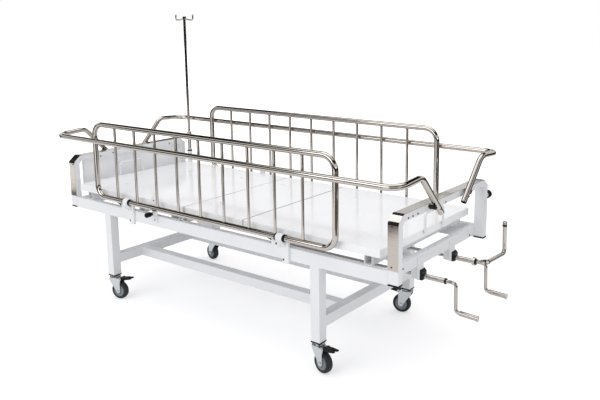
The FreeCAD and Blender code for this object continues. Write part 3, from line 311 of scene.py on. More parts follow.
def polished(name, color, rough, line_scale=40.0):
    """Bare metal whose roughness runs from the first to the second value of a pair."""
    low, high = rough
    material, tree, shader = start_material(name, color, low, metallic=1.0)
    lines = add_group(tree, POLISH, Line_scale=line_scale, Rough_low=low, Rough_high=high)
    tree.links.new(lines.outputs["Rough"], shader.inputs["Roughness"])
    tint = opaque([channel * LINE_TINT for channel in color])
    lined = mix_colors(tree, lines.outputs["Height"], opaque(color), tint)
    tree.links.new(lined, shader.inputs["Base Color"])
    add_bump(tree, shader, lines.outputs["Height"], LINE_BUMP, LINE_DEPTH)
    return material


def moulded(name, color, roughness, grain_scale, grain=0.15, shine=0.5):
    material, tree, shader = start_material(name, color, roughness)
    shader.inputs["Specular IOR Level"].default_value = shine
    skin = add_group(tree, POWDER, Peel_scale=grain_scale, Tone_low=GRAIN_TONE, Tone_high=1.0)
    tone_color(tree, shader, opaque(color), skin)
    add_bump(tree, shader, skin.outputs["Height"], grain, GRAIN_DEPTH)
    return material


print("finish helpers ready")

# %% Mix the finishes
STEEL_COLOR = (0.50, 0.465, 0.43)
STRIP_COLOR = (0.475, 0.44, 0.405)
PLATED_COLOR = (0.42, 0.39, 0.365)
ZINC_COLOR = (0.56, 0.59, 0.61)
# The weld colour is dark partly for the weld and partly as painted shade at the joints.
WELD_AND_SHADE_COLOR = (0.22, 0.18, 0.15)
SCREW_COLOR = (0.09, 0.08, 0.07)
HUB_COLOR = (0.27, 0.30, 0.32)
BLACK_COLOR = (0.007, 0.007, 0.008)
WHITE_COLOR = (0.80, 0.81, 0.825)
PALE_COLOR = (0.88, 0.885, 0.90)

WHITE = powder_coat("White powder coat", WHITE_COLOR, roughness=0.36)
DECK = powder_coat("Glossy deck enamel", PALE_COLOR, roughness=0.14, peel=0.015, coat=0.3)
PANEL = powder_coat("Grey panel enamel", PALE_COLOR, roughness=0.36)
STAINLESS = polished("Polished stainless tube", STEEL_COLOR, rough=(0.05, 0.11))
STRIP = polished("Satin stainless strip", STRIP_COLOR, rough=(0.10, 0.18), line_scale=24.0)
CHROME = polished("Plated crank rod", PLATED_COLOR, rough=(0.06, 0.13))
ZINC = polished("Zinc plated pressing", ZINC_COLOR, rough=(0.16, 0.30))
WELD_AND_SHADE = polished("Weld bead with painted shade", WELD_AND_SHADE_COLOR, rough=(0.3, 0.5), line_scale=120.0)
DARK_SCREW = polished("Blackened screw", SCREW_COLOR, rough=(0.25, 0.4), line_scale=60.0)
BLACK = moulded(
    "Black moulded plastic", BLACK_COLOR, roughness=0.46, grain_scale=1400.0, shine=0.12
)
HUB = moulded("Grey hub plastic", HUB_COLOR, roughness=0.42, grain_scale=900.0)
print("finishes:", len(bpy.data.materials))

# %% [markdown]
# ## Two finishes in one piece
# A caster wheel is a tyre moulded on to a grey centre, and a crank bearing is a painted box, a
# black block, a plated sleeve and a black ring. Each comes from the model as one solid. It
# could be cut up and rebuilt, but its shape is right, so a mask picks the finish by place. The
# mask is measured on object coordinates, which travel with the piece when it turns.

# %% Wheels: tyre outside, moulded centre inside
HUB_RADIUS = 34 * MM
RUBBER_COLOR = (0.026, 0.028, 0.031)
TYRE_ROUGHNESS = 0.55
TYRE_SHINE = 0.2
TYRE_GRAIN_SCALE = 700.0
TYRE_GRAIN = 0.12
CASTER_TURN = {"head_near": 14, "head_far": 168, "foot_near": -12, "foot_far": 190}


def wheel_finish(name, centre, axis):
    title = f"Tyre and centre {name}"
    material, tree, shader = start_material(title, RUBBER_COLOR, TYRE_ROUGHNESS)
    shader.inputs["Specular IOR Level"].default_value = TYRE_SHINE
    skin = add_group(
        tree, POWDER, Peel_scale=TYRE_GRAIN_SCALE, Tone_low=GRAIN_TONE, Tone_high=1.0
    )
    zone = add_group(tree, ROUND_ZONE, Centre=centre, Axis=axis, Radius=HUB_RADIUS)
    both = mix_colors(tree, zone.outputs["Mask"], opaque(RUBBER_COLOR), opaque(HUB_COLOR))
    tone_color(tree, shader, both, skin)
    add_bump(tree, shader, skin.outputs["Height"], TYRE_GRAIN, GRAIN_DEPTH)
    return material


WHEELS = {}
for name, turn in CASTER_TURN.items():
    low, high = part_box(f"caster_wheel_{name}")
    angle = math.radians(turn)
    WHEELS[name] = (low + high) / 2, Vector((-math.sin(angle), math.cos(angle), 0.0))
WHEEL_FINISH = {name: wheel_finish(name, *place) for name, place in WHEELS.items()}
for name, (centre, _) in WHEELS.items():
    print("wheel", name, "at", tuple(round(v, 3) for v in centre))

# %% Crank bearings: painted box, black block, plated sleeve, black ring
BLOCK_START_X = 1068.2 * MM
BLOCK_TOP_Z = 490 * MM
BLOCK_SIDES = [(-173 * MM, -127 * MM), (127 * MM, 173 * MM)]
SLEEVE_X = (1088.2 * MM, 1188.8 * MM)
PAST_ALL = 2.0
BOX_ROUGHNESS = 0.34
SLEEVE_ROUGHNESS = 0.16
BEARING_SHINE = 0.2


def level_mask(tree, direction, low, high):
    zone = add_group(tree, LEVEL_ZONE, Direction=direction, Low=low, High=high)
    return zone.outputs["Mask"]


def bearing_finish():
    title = "Crank bearing finishes"
    material, tree, shader = start_material(title, WHITE_COLOR, BOX_ROUGHNESS)
    shader.inputs["Specular IOR Level"].default_value = BEARING_SHINE
    beyond = level_mask(tree, ALONG, BLOCK_START_X, PAST_ALL)
    below = level_mask(tree, UP, 0.0, BLOCK_TOP_Z)
    between = [level_mask(tree, ACROSS, low, high) for low, high in BLOCK_SIDES]
    sleeve = level_mask(tree, ALONG, *SLEEVE_X)
    dark = number_math(tree, "MULTIPLY", beyond, below)
    dark = number_math(tree, "MULTIPLY", dark, number_math(tree, "MAXIMUM", *between))
    painted = mix_colors(tree, dark, opaque(WHITE_COLOR), opaque(BLACK_COLOR))
    plated = mix_colors(tree, sleeve, painted, opaque(PLATED_COLOR))
    tone_color(tree, shader, plated, add_group(tree, POWDER))
    tree.links.new(sleeve, shader.inputs["Metallic"])
    smoother = number_math(tree, "MULTIPLY", sleeve, SLEEVE_ROUGHNESS - BOX_ROUGHNESS)
    rough = number_math(tree, "ADD", smoother, BOX_ROUGHNESS)
    tree.links.new(rough, shader.inputs["Roughness"])
    return material


BEARING = bearing_finish()
print("bearing finish:", BEARING.name)

# %% [markdown]
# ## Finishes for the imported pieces
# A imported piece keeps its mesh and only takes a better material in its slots. Each could be
# named one by one, but a family's first words are enough. Most of the cot is white powder coat,
# so that is what a piece gets unless its name says otherwise.

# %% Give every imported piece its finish
FAMILIES = {f"caster_wheel_{name}": finish for name, finish in WHEEL_FINISH.items()}
FAMILIES.update({
    "deck_back": DECK,
    "deck_thigh": DECK,
    "deck_leg": DECK,
    "head_panel": PANEL,
    "guard_bracket": WHITE,
    "guard": STAINLESS,
    "pole_tube": STAINLESS,
    "pole_rod": STAINLESS,
    "utility_holder": STAINLESS,
    "crank_bearing": BEARING,
    "crank": CHROME,
    "post_caps": BLACK,
    "clamp_knob": BLACK,
    "tube_cradles": BLACK,
    "latch_plunger": BLACK,
    "brake_pedal": BLACK,
    "caster_fork": ZINC,
})


def finish_for(name):
    matches = (finish for family, finish in FAMILIES.items() if name.startswith(family))
    return next(matches, WHITE)


for name, node in NODES.items():
    if not node.material_slots:
        node.data.materials.append(WHITE)
    for slot in node.material_slots:
        slot.material = finish_for(name)
print("dressed:", len(NODES))

# %% [markdown]
# ## Shaping small pieces
# Screws, rings, caps and beads are all turned shapes, so one helper spins a profile round an
# axis. A cylinder for each would be quicker, but it has no eased edge to catch the light. Real
# sizes stay in the numbers, in millimetres, which are easy to check with a rule.

# %% Helpers that shape and finish a piece
SIDES = {"near": -1, "far": 1}
ENDS = {"head": -1, "foot": 1}
SHARP_ANGLE = math.radians(38)
MERGE_DISTANCE = 0.001 * MM
COLLAR_EASE = 0.6


def at(x, y, z):
    return Vector((x, y, z)) * MM


def turned(bm, profile, centre, axis, steps=20, ring=False):
    """Spin (radius, height) pairs round an axis; a ring's profile closes on itself."""
    side = axis.orthogonal().normalized()
    points = [bm.verts.new(centre + side * (r * MM) + axis * (h * MM)) for r, h in profile]
    nexts = points[1:] + points[:1] if ring else points[1:]
    edges = [bm.edges.new(pair) for pair in zip(points, nexts)]
    bmesh.ops.spin(
        bm, geom=points + edges, cent=centre, axis=axis, angle=math.tau, steps=steps,
        use_merge=True,
    )


def collar(bm, centre, axis, inner, outer, low, high, steps=24):
    """A short ring with eased outer edges: two radii, then two heights along the axis."""
    ease = min(COLLAR_EASE, (outer - inner) / 3, (high - low) / 3)
    profile = [
        (inner, low), (outer - ease, low), (outer, low + ease),
        (outer, high - ease), (outer - ease, high), (inner, high),
    ]
    turned(bm, profile, centre, axis, steps, ring=True)


def finish_piece(bm, name, material, body):
    bmesh.ops.remove_doubles(bm, verts=bm.verts, dist=MERGE_DISTANCE)
    bmesh.ops.recalc_face_normals(bm, faces=bm.faces)
    mesh = bpy.data.meshes.new(name)
    bm.to_mesh(mesh)
    bm.free()
    mesh.shade_smooth()
    mesh.set_sharp_from_angle(angle=SHARP_ANGLE)
    mesh.materials.append(material)
    piece = bpy.data.objects.new(name, mesh)
    bpy.context.scene.collection.objects.link(piece)
    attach(piece, body)
    return piece


print("shape helpers ready")

# %% [markdown]
# ## Stainless end strips
# A strip of satin stainless is folded round the outside of each bow. It guards the paint where
# trolleys and doors knock it. A curve with a flat profile could follow the bow, but its corners
# would pinch. So the outline is drawn as a chain of edges and pulled across the bow's depth.
# Its folds are bevelled, because sheet never folds to a sharp corner.

# %% Fold the strips round the bows
POST_FACE_Y = 418
CORNER_Y = 379
STRIP_LOW_Z, FOLD_LOW_Z, FOLD_TOP_Z = 562, 762, 794
BOW_MIDDLE_Z = 600
BOW_DEPTH = (1065, 1116)
BOW_OUTLINE = [
    (-POST_FACE_Y, STRIP_LOW_Z), (-POST_FACE_Y, FOLD_LOW_Z), (-CORNER_Y, FOLD_TOP_Z),
    (CORNER_Y, FOLD_TOP_Z), (POST_FACE_Y, FOLD_LOW_Z), (POST_FACE_Y, STRIP_LOW_Z),
]
STRIP_WALL = 1.2
STRIP_FOLD = 4.0
FOLD_SEGMENTS = 4


def folded_sheet(bm, outline, reach, wall, fold):
    """Sheet that follows (y, z) points and reaches across X."""
    low, high = sorted(reach)
    points = [bm.verts.new(at(low, y, z)) for y, z in outline]
    chain = [bm.edges.new(pair) for pair in zip(points, points[1:])]
    pulled = bmesh.ops.extrude_edge_only(bm, edges=chain)["geom"]
    far_points = [item for item in pulled if isinstance(item, bmesh.types.BMVert)]
    bmesh.ops.translate(bm, verts=far_points, vec=at(high - low, 0, 0))
    folds = [edge for edge in bm.edges if len(edge.link_faces) == 2]
    bmesh.ops.bevel(
        bm, geom=folds, offset=fold * MM, offset_type="OFFSET", segments=FOLD_SEGMENTS,
        profile=0.5, affect="EDGES", material=-1,
    )
    bmesh.ops.recalc_face_normals(bm, faces=bm.faces)
    top = max(bm.faces, key=lambda face: face.calc_center_median().z)
    outward = top.normal.dot(top.calc_center_median() - at(0, 0, BOW_MIDDLE_Z)) > 0
    thickness = -wall * MM if outward else wall * MM
    bmesh.ops.solidify(bm, geom=list(bm.faces), thickness=thickness)


for end, sign in ENDS.items():
    bm = bmesh.new()
    folded_sheet(bm, BOW_OUTLINE, [sign * x for x in BOW_DEPTH], STRIP_WALL, STRIP_FOLD)
    strip = finish_piece(bm, f"end_strip_{end}", STRIP, "frame")
    top = max(vertex.co.z for vertex in strip.data.vertices)
    print(strip.name, "faces:", len(strip.data.polygons), "top:", round(top, 4))

# %% [markdown]
# ## Painted reflections at the folds
# A black band covers the strip at each fold as a painted reflection of the dark line that a
# bent sheet mirrors there. A mask could colour the strip there, but the band has an edge of its
# own that stands a little proud. So it is the same folded sheet again, only a few millimetres
# long and a little thicker.

# %% Wrap the bands of painted reflection
BAND_PROUD = 0.7
BAND_REACH = 8.0
BAND_FOLD = 3.0


def towards(point, other, distance):
    """The place that lies a distance from one point on the way to another."""
    gap = Vector(other) - Vector(point)
    return tuple(Vector(point) + gap.normalized() * distance)


def add_mesh(bm, extra):
    """Move a second bmesh into the first."""
    scratch = bpy.data.meshes.new("scratch")
    extra.to_mesh(scratch)
    extra.free()
    bm.from_mesh(scratch)
    bpy.data.meshes.remove(scratch)


for end, sign in ENDS.items():
    bm = bmesh.new()
    for before, corner, after in zip(BOW_OUTLINE, BOW_OUTLINE[1:], BOW_OUTLINE[2:]):
        outline = [
            towards(corner, before, BAND_REACH), corner, towards(corner, after, BAND_REACH)
        ]
        depth = [sign * x for x in BOW_DEPTH]
        band = bmesh.new()
        folded_sheet(band, outline, depth, STRIP_WALL + BAND_PROUD, BAND_FOLD)
        add_mesh(bm, band)
    # The black of these bands is painted reflection at the folds.
    bands = finish_piece(bm, f"painted_fold_reflections_{end}", BLACK, "frame")
    print(bands.name, "faces:", len(bands.data.polygons))

# %% [markdown]
# ## Screws
# Button-head socket screws hold the strips, the end panels and the brackets. A screw could be
# half a sphere, but the socket's dark ring is what the eye finds. So one short profile makes a
# head: the flat of the socket, its wall, and the round of the button. All the screws of a part
# of the cot make one piece, as they would in a fastener kit.

# %% Drive the screws
SCREW_STEPS = 14
SOCKET_DEPTH = 1.4
SOCKET_SHARE = 0.42
BUTTON_ROUND = [(0.72, 0.86), (0.93, 0.5)]


def screw(bm, place, direction, radius=4.5, height=2.6):
    """A button head with its socket sunk in it."""
    floor = height - SOCKET_DEPTH
    socket = radius * SOCKET_SHARE
    profile = [(0.0, floor), (socket, floor), (socket, height)]
    profile += [(radius * across, height * up) for across, up in BUTTON_ROUND]
    turned(bm, profile + [(radius, 0.0), (0.0, 0.0)], place, direction, SCREW_STEPS)


FOOT_BAR_SCREWS = [(1116, -343, 772), (1116, -307, 772), (1116, -266, 773), (1116, -19, 769)]
CROSS_SCREWS = [(1065, 337, 517), (1065, -296, 530)]
HEAD_BAR_SCREWS = [
    (-1065, -239, 770), (-1065, -152, 778), (-1065, -127, 780), (-1065, 66, 785),
    (-1065, 287, 770),
]
STRIP_SCREWS = [(1085, 749), (1084, 577), (-1079, 747), (-1079, 577)]
STRIP_SCREW_SIZE = (4.0, 2.2)

bm = bmesh.new()
for place in FOOT_BAR_SCREWS + CROSS_SCREWS + HEAD_BAR_SCREWS:
    screw(bm, at(*place), ALONG)
for side in SIDES.values():
    for x, z in STRIP_SCREWS:
        face = at(x, side * (POST_FACE_Y + STRIP_WALL), z)
        screw(bm, face, ACROSS * side, *STRIP_SCREW_SIZE)
screws = finish_piece(bm, "frame_screws", DARK_SCREW, "frame")
print(screws.name, "faces:", len(screws.data.polygons))

# %% [markdown]
# ## Guard brackets and their small parts
# Each guard turns in two eyes. Socket screws and hex bolts hold the bracket plates, black
# bushes take the wear at both sides of each eye, and a small bent lever sits beside it. All are
# turned like the other screws and rings, apart from the levers. Bushes ride on the guard
# because they are pressed on its lower tube; the rest rides on the frame.

# %% Screw the brackets down
BRACKET_FACE = 430
BRACKET_BOLTS = [(503, 567), (-572, 567)]
BRACKET_SCREWS = [(478, 568), (520, 500), (-596, 569), (-567, 502)]
BRACKET_SCREW_SIZE = (5.0, 3.0)
LATCH_FACE = 423
LATCH_SCREWS = [(-371, 640), (-371, 535)]
LATCH_SCREW_SIZE = (4.0, 2.4)
HEX = 6
BOLT_WASHER = (3.0, 9.5, 0.0, 1.4)
BOLT_HEAD = [(0.0, 6.0), (5.2, 6.0), (6.4, 5.2), (6.4, 1.2), (0.0, 1.2)]

bm = bmesh.new()
for side in SIDES.values():
    for x, z in BRACKET_SCREWS:
        screw(bm, at(x, side * BRACKET_FACE, z), ACROSS * side, *BRACKET_SCREW_SIZE)
    for x, z in LATCH_SCREWS:
        screw(bm, at(x, side * LATCH_FACE, z), ACROSS * side, *LATCH_SCREW_SIZE)
bracket_screws = finish_piece(bm, "bracket_screws", DARK_SCREW, "frame")
bm = bmesh.new()
for side in SIDES.values():
    for x, z in BRACKET_BOLTS:
        face = at(x, side * BRACKET_FACE, z)
        collar(bm, face, ACROSS * side, *BOLT_WASHER)
        turned(bm, BOLT_HEAD, face, ACROSS * side, HEX)
bracket_bolts = finish_piece(bm, "bracket_bolts", ZINC, "frame")
print(bracket_screws.name, "faces:", len(bracket_screws.data.polygons))
print(bracket_bolts.name, "faces:", len(bracket_bolts.data.polygons))

# %% [markdown]
# A lever is flat bar with a bent, tapered tip. A cube gives the bar, its end face is moved and
# narrowed, and a small bevel takes the edge off, as a tumbler does after stamping.

# %% Hook the lock levers beside the brackets
LEVER_FACES = (419.0, 423.5)
LEVER_HEIGHT = 14
LEVER_EASE = 1.0
LEVERS = [
    {"tip": (-700, 591), "root": (-630, 570), "taper": 9},
    {"tip": (412, 588), "root": (455, 577), "taper": 5},
]


def lever(bm, side, tip, root, taper):
    """Flat bar from root to tip, given as (x, z); the taper is what the tip is narrower."""
    tip_x, tip_z = tip
    root_x, root_z = root
    middle_x = (tip_x + root_x) / 2
    low, high = LEVER_FACES
    bar = bmesh.ops.create_cube(bm, size=1.0)["verts"]
    bmesh.ops.scale(bm, vec=at(root_x - tip_x, high - low, LEVER_HEIGHT), verts=bar)
    bmesh.ops.translate(bm, vec=at(middle_x, side * (low + high) / 2, root_z), verts=bar)
    tip_end = [vertex for vertex in bar if vertex.co.x < middle_x * MM]
    bmesh.ops.translate(bm, verts=tip_end, vec=at(0, 0, tip_z - root_z - taper / 2))
    lower = [vertex for vertex in tip_end if vertex.co.z < (tip_z - taper / 2) * MM]
    bmesh.ops.translate(bm, verts=lower, vec=at(0, 0, taper))


for name, side in SIDES.items():
    bm = bmesh.new()
    for shape in LEVERS:
        lever(bm, side, **shape)
    bmesh.ops.bevel(
        bm, geom=list(bm.edges), offset=LEVER_EASE * MM, offset_type="OFFSET", segments=2,
        profile=0.5, affect="EDGES", material=-1,
    )
    levers = finish_piece(bm, f"lock_levers_{name}", BLACK, "frame")
    print(levers.name, "faces:", len(levers.data.polygons))

# %% Press the bushes on the lower tubes
GUARD_Y = 440
LOWER_TUBE_Z = 605
TUBE_RADIUS = 14.0
BUSH_GAP = 0.1
BUSH_RADIUS = 17.5
BUSHES = [(532.3, 543.0), (485.0, 495.7), (-551.7, -543.0), (-597.0, -588.3)]

for name, side in SIDES.items():
    bm = bmesh.new()
    tube = at(0, side * GUARD_Y, LOWER_TUBE_Z)
    for low, high in BUSHES:
        collar(bm, tube, ALONG, TUBE_RADIUS + BUSH_GAP, BUSH_RADIUS, low, high)
    bushes = finish_piece(bm, f"guard_bushes_{name}", BLACK, f"guard_{name}")
    print(bushes.name, "faces:", len(bushes.data.polygons))

# %% [markdown]
# ## Welds of the guards, with painted shade
# Every bar is coped to the tubes above and below it and welded all round, and a short stud
# joins it to the outer tube. Polishing stops short of the joint, so each one leaves a darker
# bead, and the bead's dark colour is also painted shade for the contact shadow at the joint.
# A bump in the tube's material could hint at it, but a bead also rounds the corner. It is
# a small ring with a round section.

# %% Lay the weld beads, darkened partly as painted shade
BAR_RADIUS = 7.0
STUD_RADIUS = 4.0
BAR_PITCH = 161
BAR_PLACES = [BAR_PITCH * step for step in range(-4, 5)]
TOP_TUBE_Z = 1010
OUTER_TUBE_Y = 467
OUTER_TUBE_Z = 920
BEAD_RADIUS = 1.5
BEAD_SINK = 0.3
BEAD_CORNERS = 6
BEAD_STEPS = 14
COPE_SINK = 0.6
BAR_SINK = 0.2
STUD_SINK = 0.4


def bead(bm, centre, axis, radius):
    turns = [math.tau * corner / BEAD_CORNERS for corner in range(BEAD_CORNERS)]
    middle = radius - BEAD_SINK
    section = [
        (middle + BEAD_RADIUS * math.cos(turn), BEAD_RADIUS * math.sin(turn)) for turn in turns
    ]
    turned(bm, section, centre, axis, BEAD_STEPS, ring=True)


BAR_ENDS_Z = [LOWER_TUBE_Z + TUBE_RADIUS - COPE_SINK, TOP_TUBE_Z - TUBE_RADIUS + COPE_SINK]
STUD_ENDS_Y = [GUARD_Y + BAR_RADIUS - BAR_SINK, OUTER_TUBE_Y - TUBE_RADIUS + STUD_SINK]

for name, side in SIDES.items():
    bm = bmesh.new()
    for x in BAR_PLACES:
        for z in BAR_ENDS_Z:
            bead(bm, at(x, side * GUARD_Y, z), UP, BAR_RADIUS)
        for y in STUD_ENDS_Y:
            bead(bm, at(x, side * y, OUTER_TUBE_Z), ACROSS, STUD_RADIUS)
    # The beads' dark colour is partly weld and partly painted shade where bars and studs meet
    # the tubes.
    beads = finish_piece(bm, f"weld_beads_and_shade_{name}", WELD_AND_SHADE, f"guard_{name}")
    print(beads.name, "faces:", len(beads.data.polygons))

# %% [markdown]
# ## Seams of the painted frame
# The painted frame is welded too. Its seams were laid before painting, so they are white, and
# they show as fine rippled lines where square tubes meet. A seam is a turned bar whose radius
# rises and falls along its length, and half of it is sunk in the joint. Each one is given by
# its two ends on the tubes' edges, so it can be checked against them.

# %% Helper that lays one seam
SEAM_RADIUS = 2.4
SEAM_RIPPLE = 0.5
RIPPLE_PITCH = 3.5
RIPPLE_START = 0.2
SEAM_END_GAP = 1.0
SEAM_STEPS = 8


def seam(bm, start, end):
    """A rippled bar between two points, a little short of both."""
    run = (end - start).normalized()
    length = (end - start).length / MM - 2 * SEAM_END_GAP
    count = max(3, round(length / RIPPLE_PITCH))
    valley = SEAM_RADIUS - SEAM_RIPPLE
    profile = [(0.0, 0.0)]
    for step in range(count):
        base = length * step / count
        profile += [(valley, base + RIPPLE_START), (SEAM_RADIUS, base + length / count / 2)]
    profile += [(valley, length - RIPPLE_START), (0.0, length)]
    turned(bm, profile, start + run * (SEAM_END_GAP * MM), run, SEAM_STEPS)


print("seam ripple:", RIPPLE_PITCH, "mm")

# %% Lay the seams
BEAM_Y, BEAM_Z = (388, 418), (497, 557)
CROSS_X, CROSS_Z = (1035, 1065), (505, 555)
LEG_X = {"head": -783, "foot": 687}
LEG_HALF = 25
LEG_INNER_Y = 368
LOW_BAR_Z = (208, 258)
STRETCHER_Y = (165, 215)


def corner_seams(end, side):
    """Seams of one corner of the frame, each from edge to edge."""
    sign = ENDS[end]
    x_in, x_out = (sign * x for x in CROSS_X)
    y_in, y_out = (side * y for y in BEAM_Y)
    y_leg = side * LEG_INNER_Y
    leg_low, leg_high = LEG_X[end] - LEG_HALF, LEG_X[end] + LEG_HALF
    leg_inner = LEG_X[end] - sign * LEG_HALF
    (beam_low, beam_high), (cross_low, cross_high) = BEAM_Z, CROSS_Z
    bar_low, bar_high = LOW_BAR_Z
    at_beam = [
        ((x_out, y_out, beam_low), (x_out, y_out, beam_high)),
        ((x_out, y_in, beam_high), (x_out, y_out, beam_high)),
        ((x_in, y_in, cross_high), (x_out, y_in, cross_high)),
        ((x_in, y_in, cross_low), (x_in, y_in, cross_high)),
    ]
    at_leg = [((x, y_in, beam_low), (x, y_out, beam_low)) for x in (leg_low, leg_high)]
    at_leg += [((leg_low, y_leg, z), (leg_high, y_leg, z)) for z in (bar_high, bar_low)]
    at_stretcher = [
        ((leg_inner, side * y, bar_low), (leg_inner, side * y, bar_high)) for y in STRETCHER_Y
    ]
    return at_beam + at_leg + at_stretcher


SEAMS = [pair for side in SIDES.values() for end in ENDS for pair in corner_seams(end, side)]
bm = bmesh.new()
for start, stop in SEAMS:
    seam(bm, at(*start), at(*stop))
seams = finish_piece(bm, "frame_seams", WHITE, "frame")
print(seams.name, "seams:", len(SEAMS), "faces:", len(seams.data.polygons))

# %% [markdown]
# ## Bolts in the outer tubes' ends
# Each outer tube is turned in over the foot bow, and a socket bolt closes its end. The same
# screw helper makes it. It rides on the guard, because it goes where the tube goes.

# %% Bolt the outer tubes' ends
TUBE_END_X = 1154.5
TUBE_END_Y, TUBE_END_Z = 134, 768
TIP_SINK = 0.8
TIP_SCREW_SIZE = (4.0, 2.6)

for name, side in SIDES.items():
    bm = bmesh.new()
    face = at(TUBE_END_X - TIP_SINK, side * TUBE_END_Y, TUBE_END_Z)
    screw(bm, face, ALONG, *TIP_SCREW_SIZE)
    tip = finish_piece(bm, f"tube_tip_bolt_{name}", DARK_SCREW, f"guard_{name}")
    print(tip.name, "faces:", len(tip.data.polygons))

# %% [markdown]
# ## Latch trim
# The pull knob slides in a boss on the latch plate. A plated ring shows where the stem leaves
# the knob's face. It is a short collar that rides on the latch, so it comes out with the knob.

# %% Fit the latch rings
LATCH_X, LATCH_Z = -371, 571
KNOB_FACE_Y = 480.6
KNOB_RING = (4.0, 7.5, -0.6, 0.6)

for name, side in SIDES.items():
    bm = bmesh.new()
    collar(bm, at(LATCH_X, side * KNOB_FACE_Y, LATCH_Z), ACROSS * side, *KNOB_RING)
    ring = finish_piece(bm, f"knob_ring_{name}", ZINC, f"latch_{name}")
    print(ring.name, "faces:", len(ring.data.polygons))

# %% [markdown]
# ## Gaskets and cap rims
# A black gasket closes the end of each leg where the caster's stem goes in, and the plugs in
# the posts' lower ends show a thin black rim. Both are sleeves round a square tube. A cube
# without its ends, given a wall, is closed and hollow, so it doesn't cut into the tube.

# %% Slip the gaskets on the legs
GASKET_WALL = 0.8
GASKET_HEIGHTS = (136.3, 143.0)
LEG_Y = 393
LEG_PLACES = {
    (end, name): (LEG_X[end], side * LEG_Y) for end in ENDS for name, side in SIDES.items()
}


def square_band(bm, centre, half_x, half_y, wall, low, high):
    """A thin sleeve round a square tube, open at both ends."""
    cube = bmesh.ops.create_cube(bm, size=1.0)["verts"]
    bmesh.ops.scale(bm, vec=at(2 * half_x, 2 * half_y, high - low), verts=cube)
    bmesh.ops.translate(bm, vec=at(*centre, (low + high) / 2), verts=cube)
    faces = {face for vertex in cube for face in vertex.link_faces}
    ends = [face for face in faces if abs(face.normal.z) > 0.5]
    bmesh.ops.delete(bm, geom=ends, context="FACES_ONLY")
    walls = list({face for vertex in cube for face in vertex.link_faces})
    bmesh.ops.recalc_face_normals(bm, faces=walls)
    bmesh.ops.solidify(bm, geom=walls, thickness=-wall * MM)


bm = bmesh.new()
for place in LEG_PLACES.values():
    square_band(bm, place, LEG_HALF, LEG_HALF, GASKET_WALL, *GASKET_HEIGHTS)
gaskets = finish_piece(bm, "leg_gaskets", BLACK, "frame")
print(gaskets.name, "faces:", len(gaskets.data.polygons))

# %% Cap the posts
POST_HALF = (25.5, 16.5)
POST_X, POST_Y = 1090.5, 401.5
CAP_HEIGHTS = (495.3, 503.0)

bm = bmesh.new()
for sign in ENDS.values():
    for side in SIDES.values():
        square_band(bm, (sign * POST_X, side * POST_Y), *POST_HALF, GASKET_WALL, *CAP_HEIGHTS)
cap_rims = finish_piece(bm, "post_cap_rims", BLACK, "frame")
print(cap_rims.name, "faces:", len(cap_rims.data.polygons))

# %% [markdown]
# ## Caster hardware
# The wheel turns on a bolt with a hex head on one side and a nut on the other, and a dark seal
# ring runs round the swivel bearing. A turned profile with six steps is a hexagon, so the same
# helper makes the nut. Bolt and seal swivel with the fork.

# %% Bolt the wheels
FORK_HALF = 22.5
AXLE_WASHER = (3.0, 8.0, -0.2, 1.0)
AXLE_NUT = [
    (0.0, 0.8), (5.8, 0.8), (5.8, 4.4), (5.0, 5.0), (3.0, 5.0), (2.6, 6.2), (0.0, 6.4),
]
SEAL_SIZE = (27.0, 30.6, 126.5, 128.5)
RING_STEPS = 32

for name, (centre, axis) in WHEELS.items():
    bm = bmesh.new()
    for out in (-axis, axis):
        face = centre + out * (FORK_HALF * MM)
        collar(bm, face, out, *AXLE_WASHER)
        turned(bm, AXLE_NUT, face, out, HEX)
    bolts = finish_piece(bm, f"axle_bolt_{name}", ZINC, f"caster_{name}")
    bm = bmesh.new()
    collar(bm, at(*LEG_PLACES[tuple(name.split("_"))], 0), UP, *SEAL_SIZE, RING_STEPS)
    seal = finish_piece(bm, f"swivel_seal_{name}", BLACK, f"caster_{name}")
    print(bolts.name, "and", seal.name)

# %% [markdown]
# ## Hub rings and ribs
# The wheel's moulded centre carries a raised ring and short ribs on both sides, which stiffen
# it. A spin would only give rings, so each rib is a small block, moved out from the axis,
# turned to its place and then stood on the wheel's own plane.

# %% Mould the hub rings and ribs
HUB_SUNK = 12.0
HUB_RING = (24.5, 29.5, HUB_SUNK - 0.3, HUB_SUNK + 2.6)
HUB_RIBS = 8
RIB_SIZE = (10.5, 2.2, 2.2)
RIB_PLACE = (19.8, 0, HUB_SUNK + 0.8)


def add_rib(bm, centre, out, angle):
    """One rib on the face of a wheel that looks out along a direction."""
    rib = bmesh.ops.create_cube(bm, size=1.0)["verts"]
    bmesh.ops.scale(bm, vec=at(*RIB_SIZE), verts=rib)
    bmesh.ops.translate(bm, vec=at(*RIB_PLACE), verts=rib)
    bmesh.ops.rotate(bm, matrix=Matrix.Rotation(angle, 3, "Z"), verts=rib)
    side = out.orthogonal().normalized()
    wheel_plane = Matrix((side, out.cross(side), out)).transposed()
    bmesh.ops.rotate(bm, matrix=wheel_plane, verts=rib)
    bmesh.ops.translate(bm, vec=centre, verts=rib)


for name, (centre, axis) in WHEELS.items():
    bm = bmesh.new()
    for out in (-axis, axis):
        collar(bm, centre, out, *HUB_RING, RING_STEPS)
        for step in range(HUB_RIBS):
            add_rib(bm, centre, out, math.tau * step / HUB_RIBS)
    ribs = finish_piece(bm, f"hub_ribs_{name}", HUB, f"wheel_{name}")
    print(ribs.name, "faces:", len(ribs.data.polygons))

# %% [markdown]
# ## Pole and holder trim
# The pole slides in a socket with a black ring on top, and each hook ends in a small ball so it
# can't scratch. The bent holder has a black rim round its open end, a black band near its top
# and a plated cap. All are turned, about the pole's axis or along the holder's own runs.

# %% Trim the pole
POLE_X, POLE_Y = -1032, 432
SOCKET_RING = (11.1, 17.2, 703.8, 710.0)
HOOK_REACH = 80
BALL_Z = 1594.6
BALL_STEPS = 16
HOOK_BALL = [
    (0.0, -6.0), (3.4, -5.2), (5.2, -2.6), (5.6, 0.0), (5.2, 2.2), (3.2, 4.4), (0.0, 5.2),
]

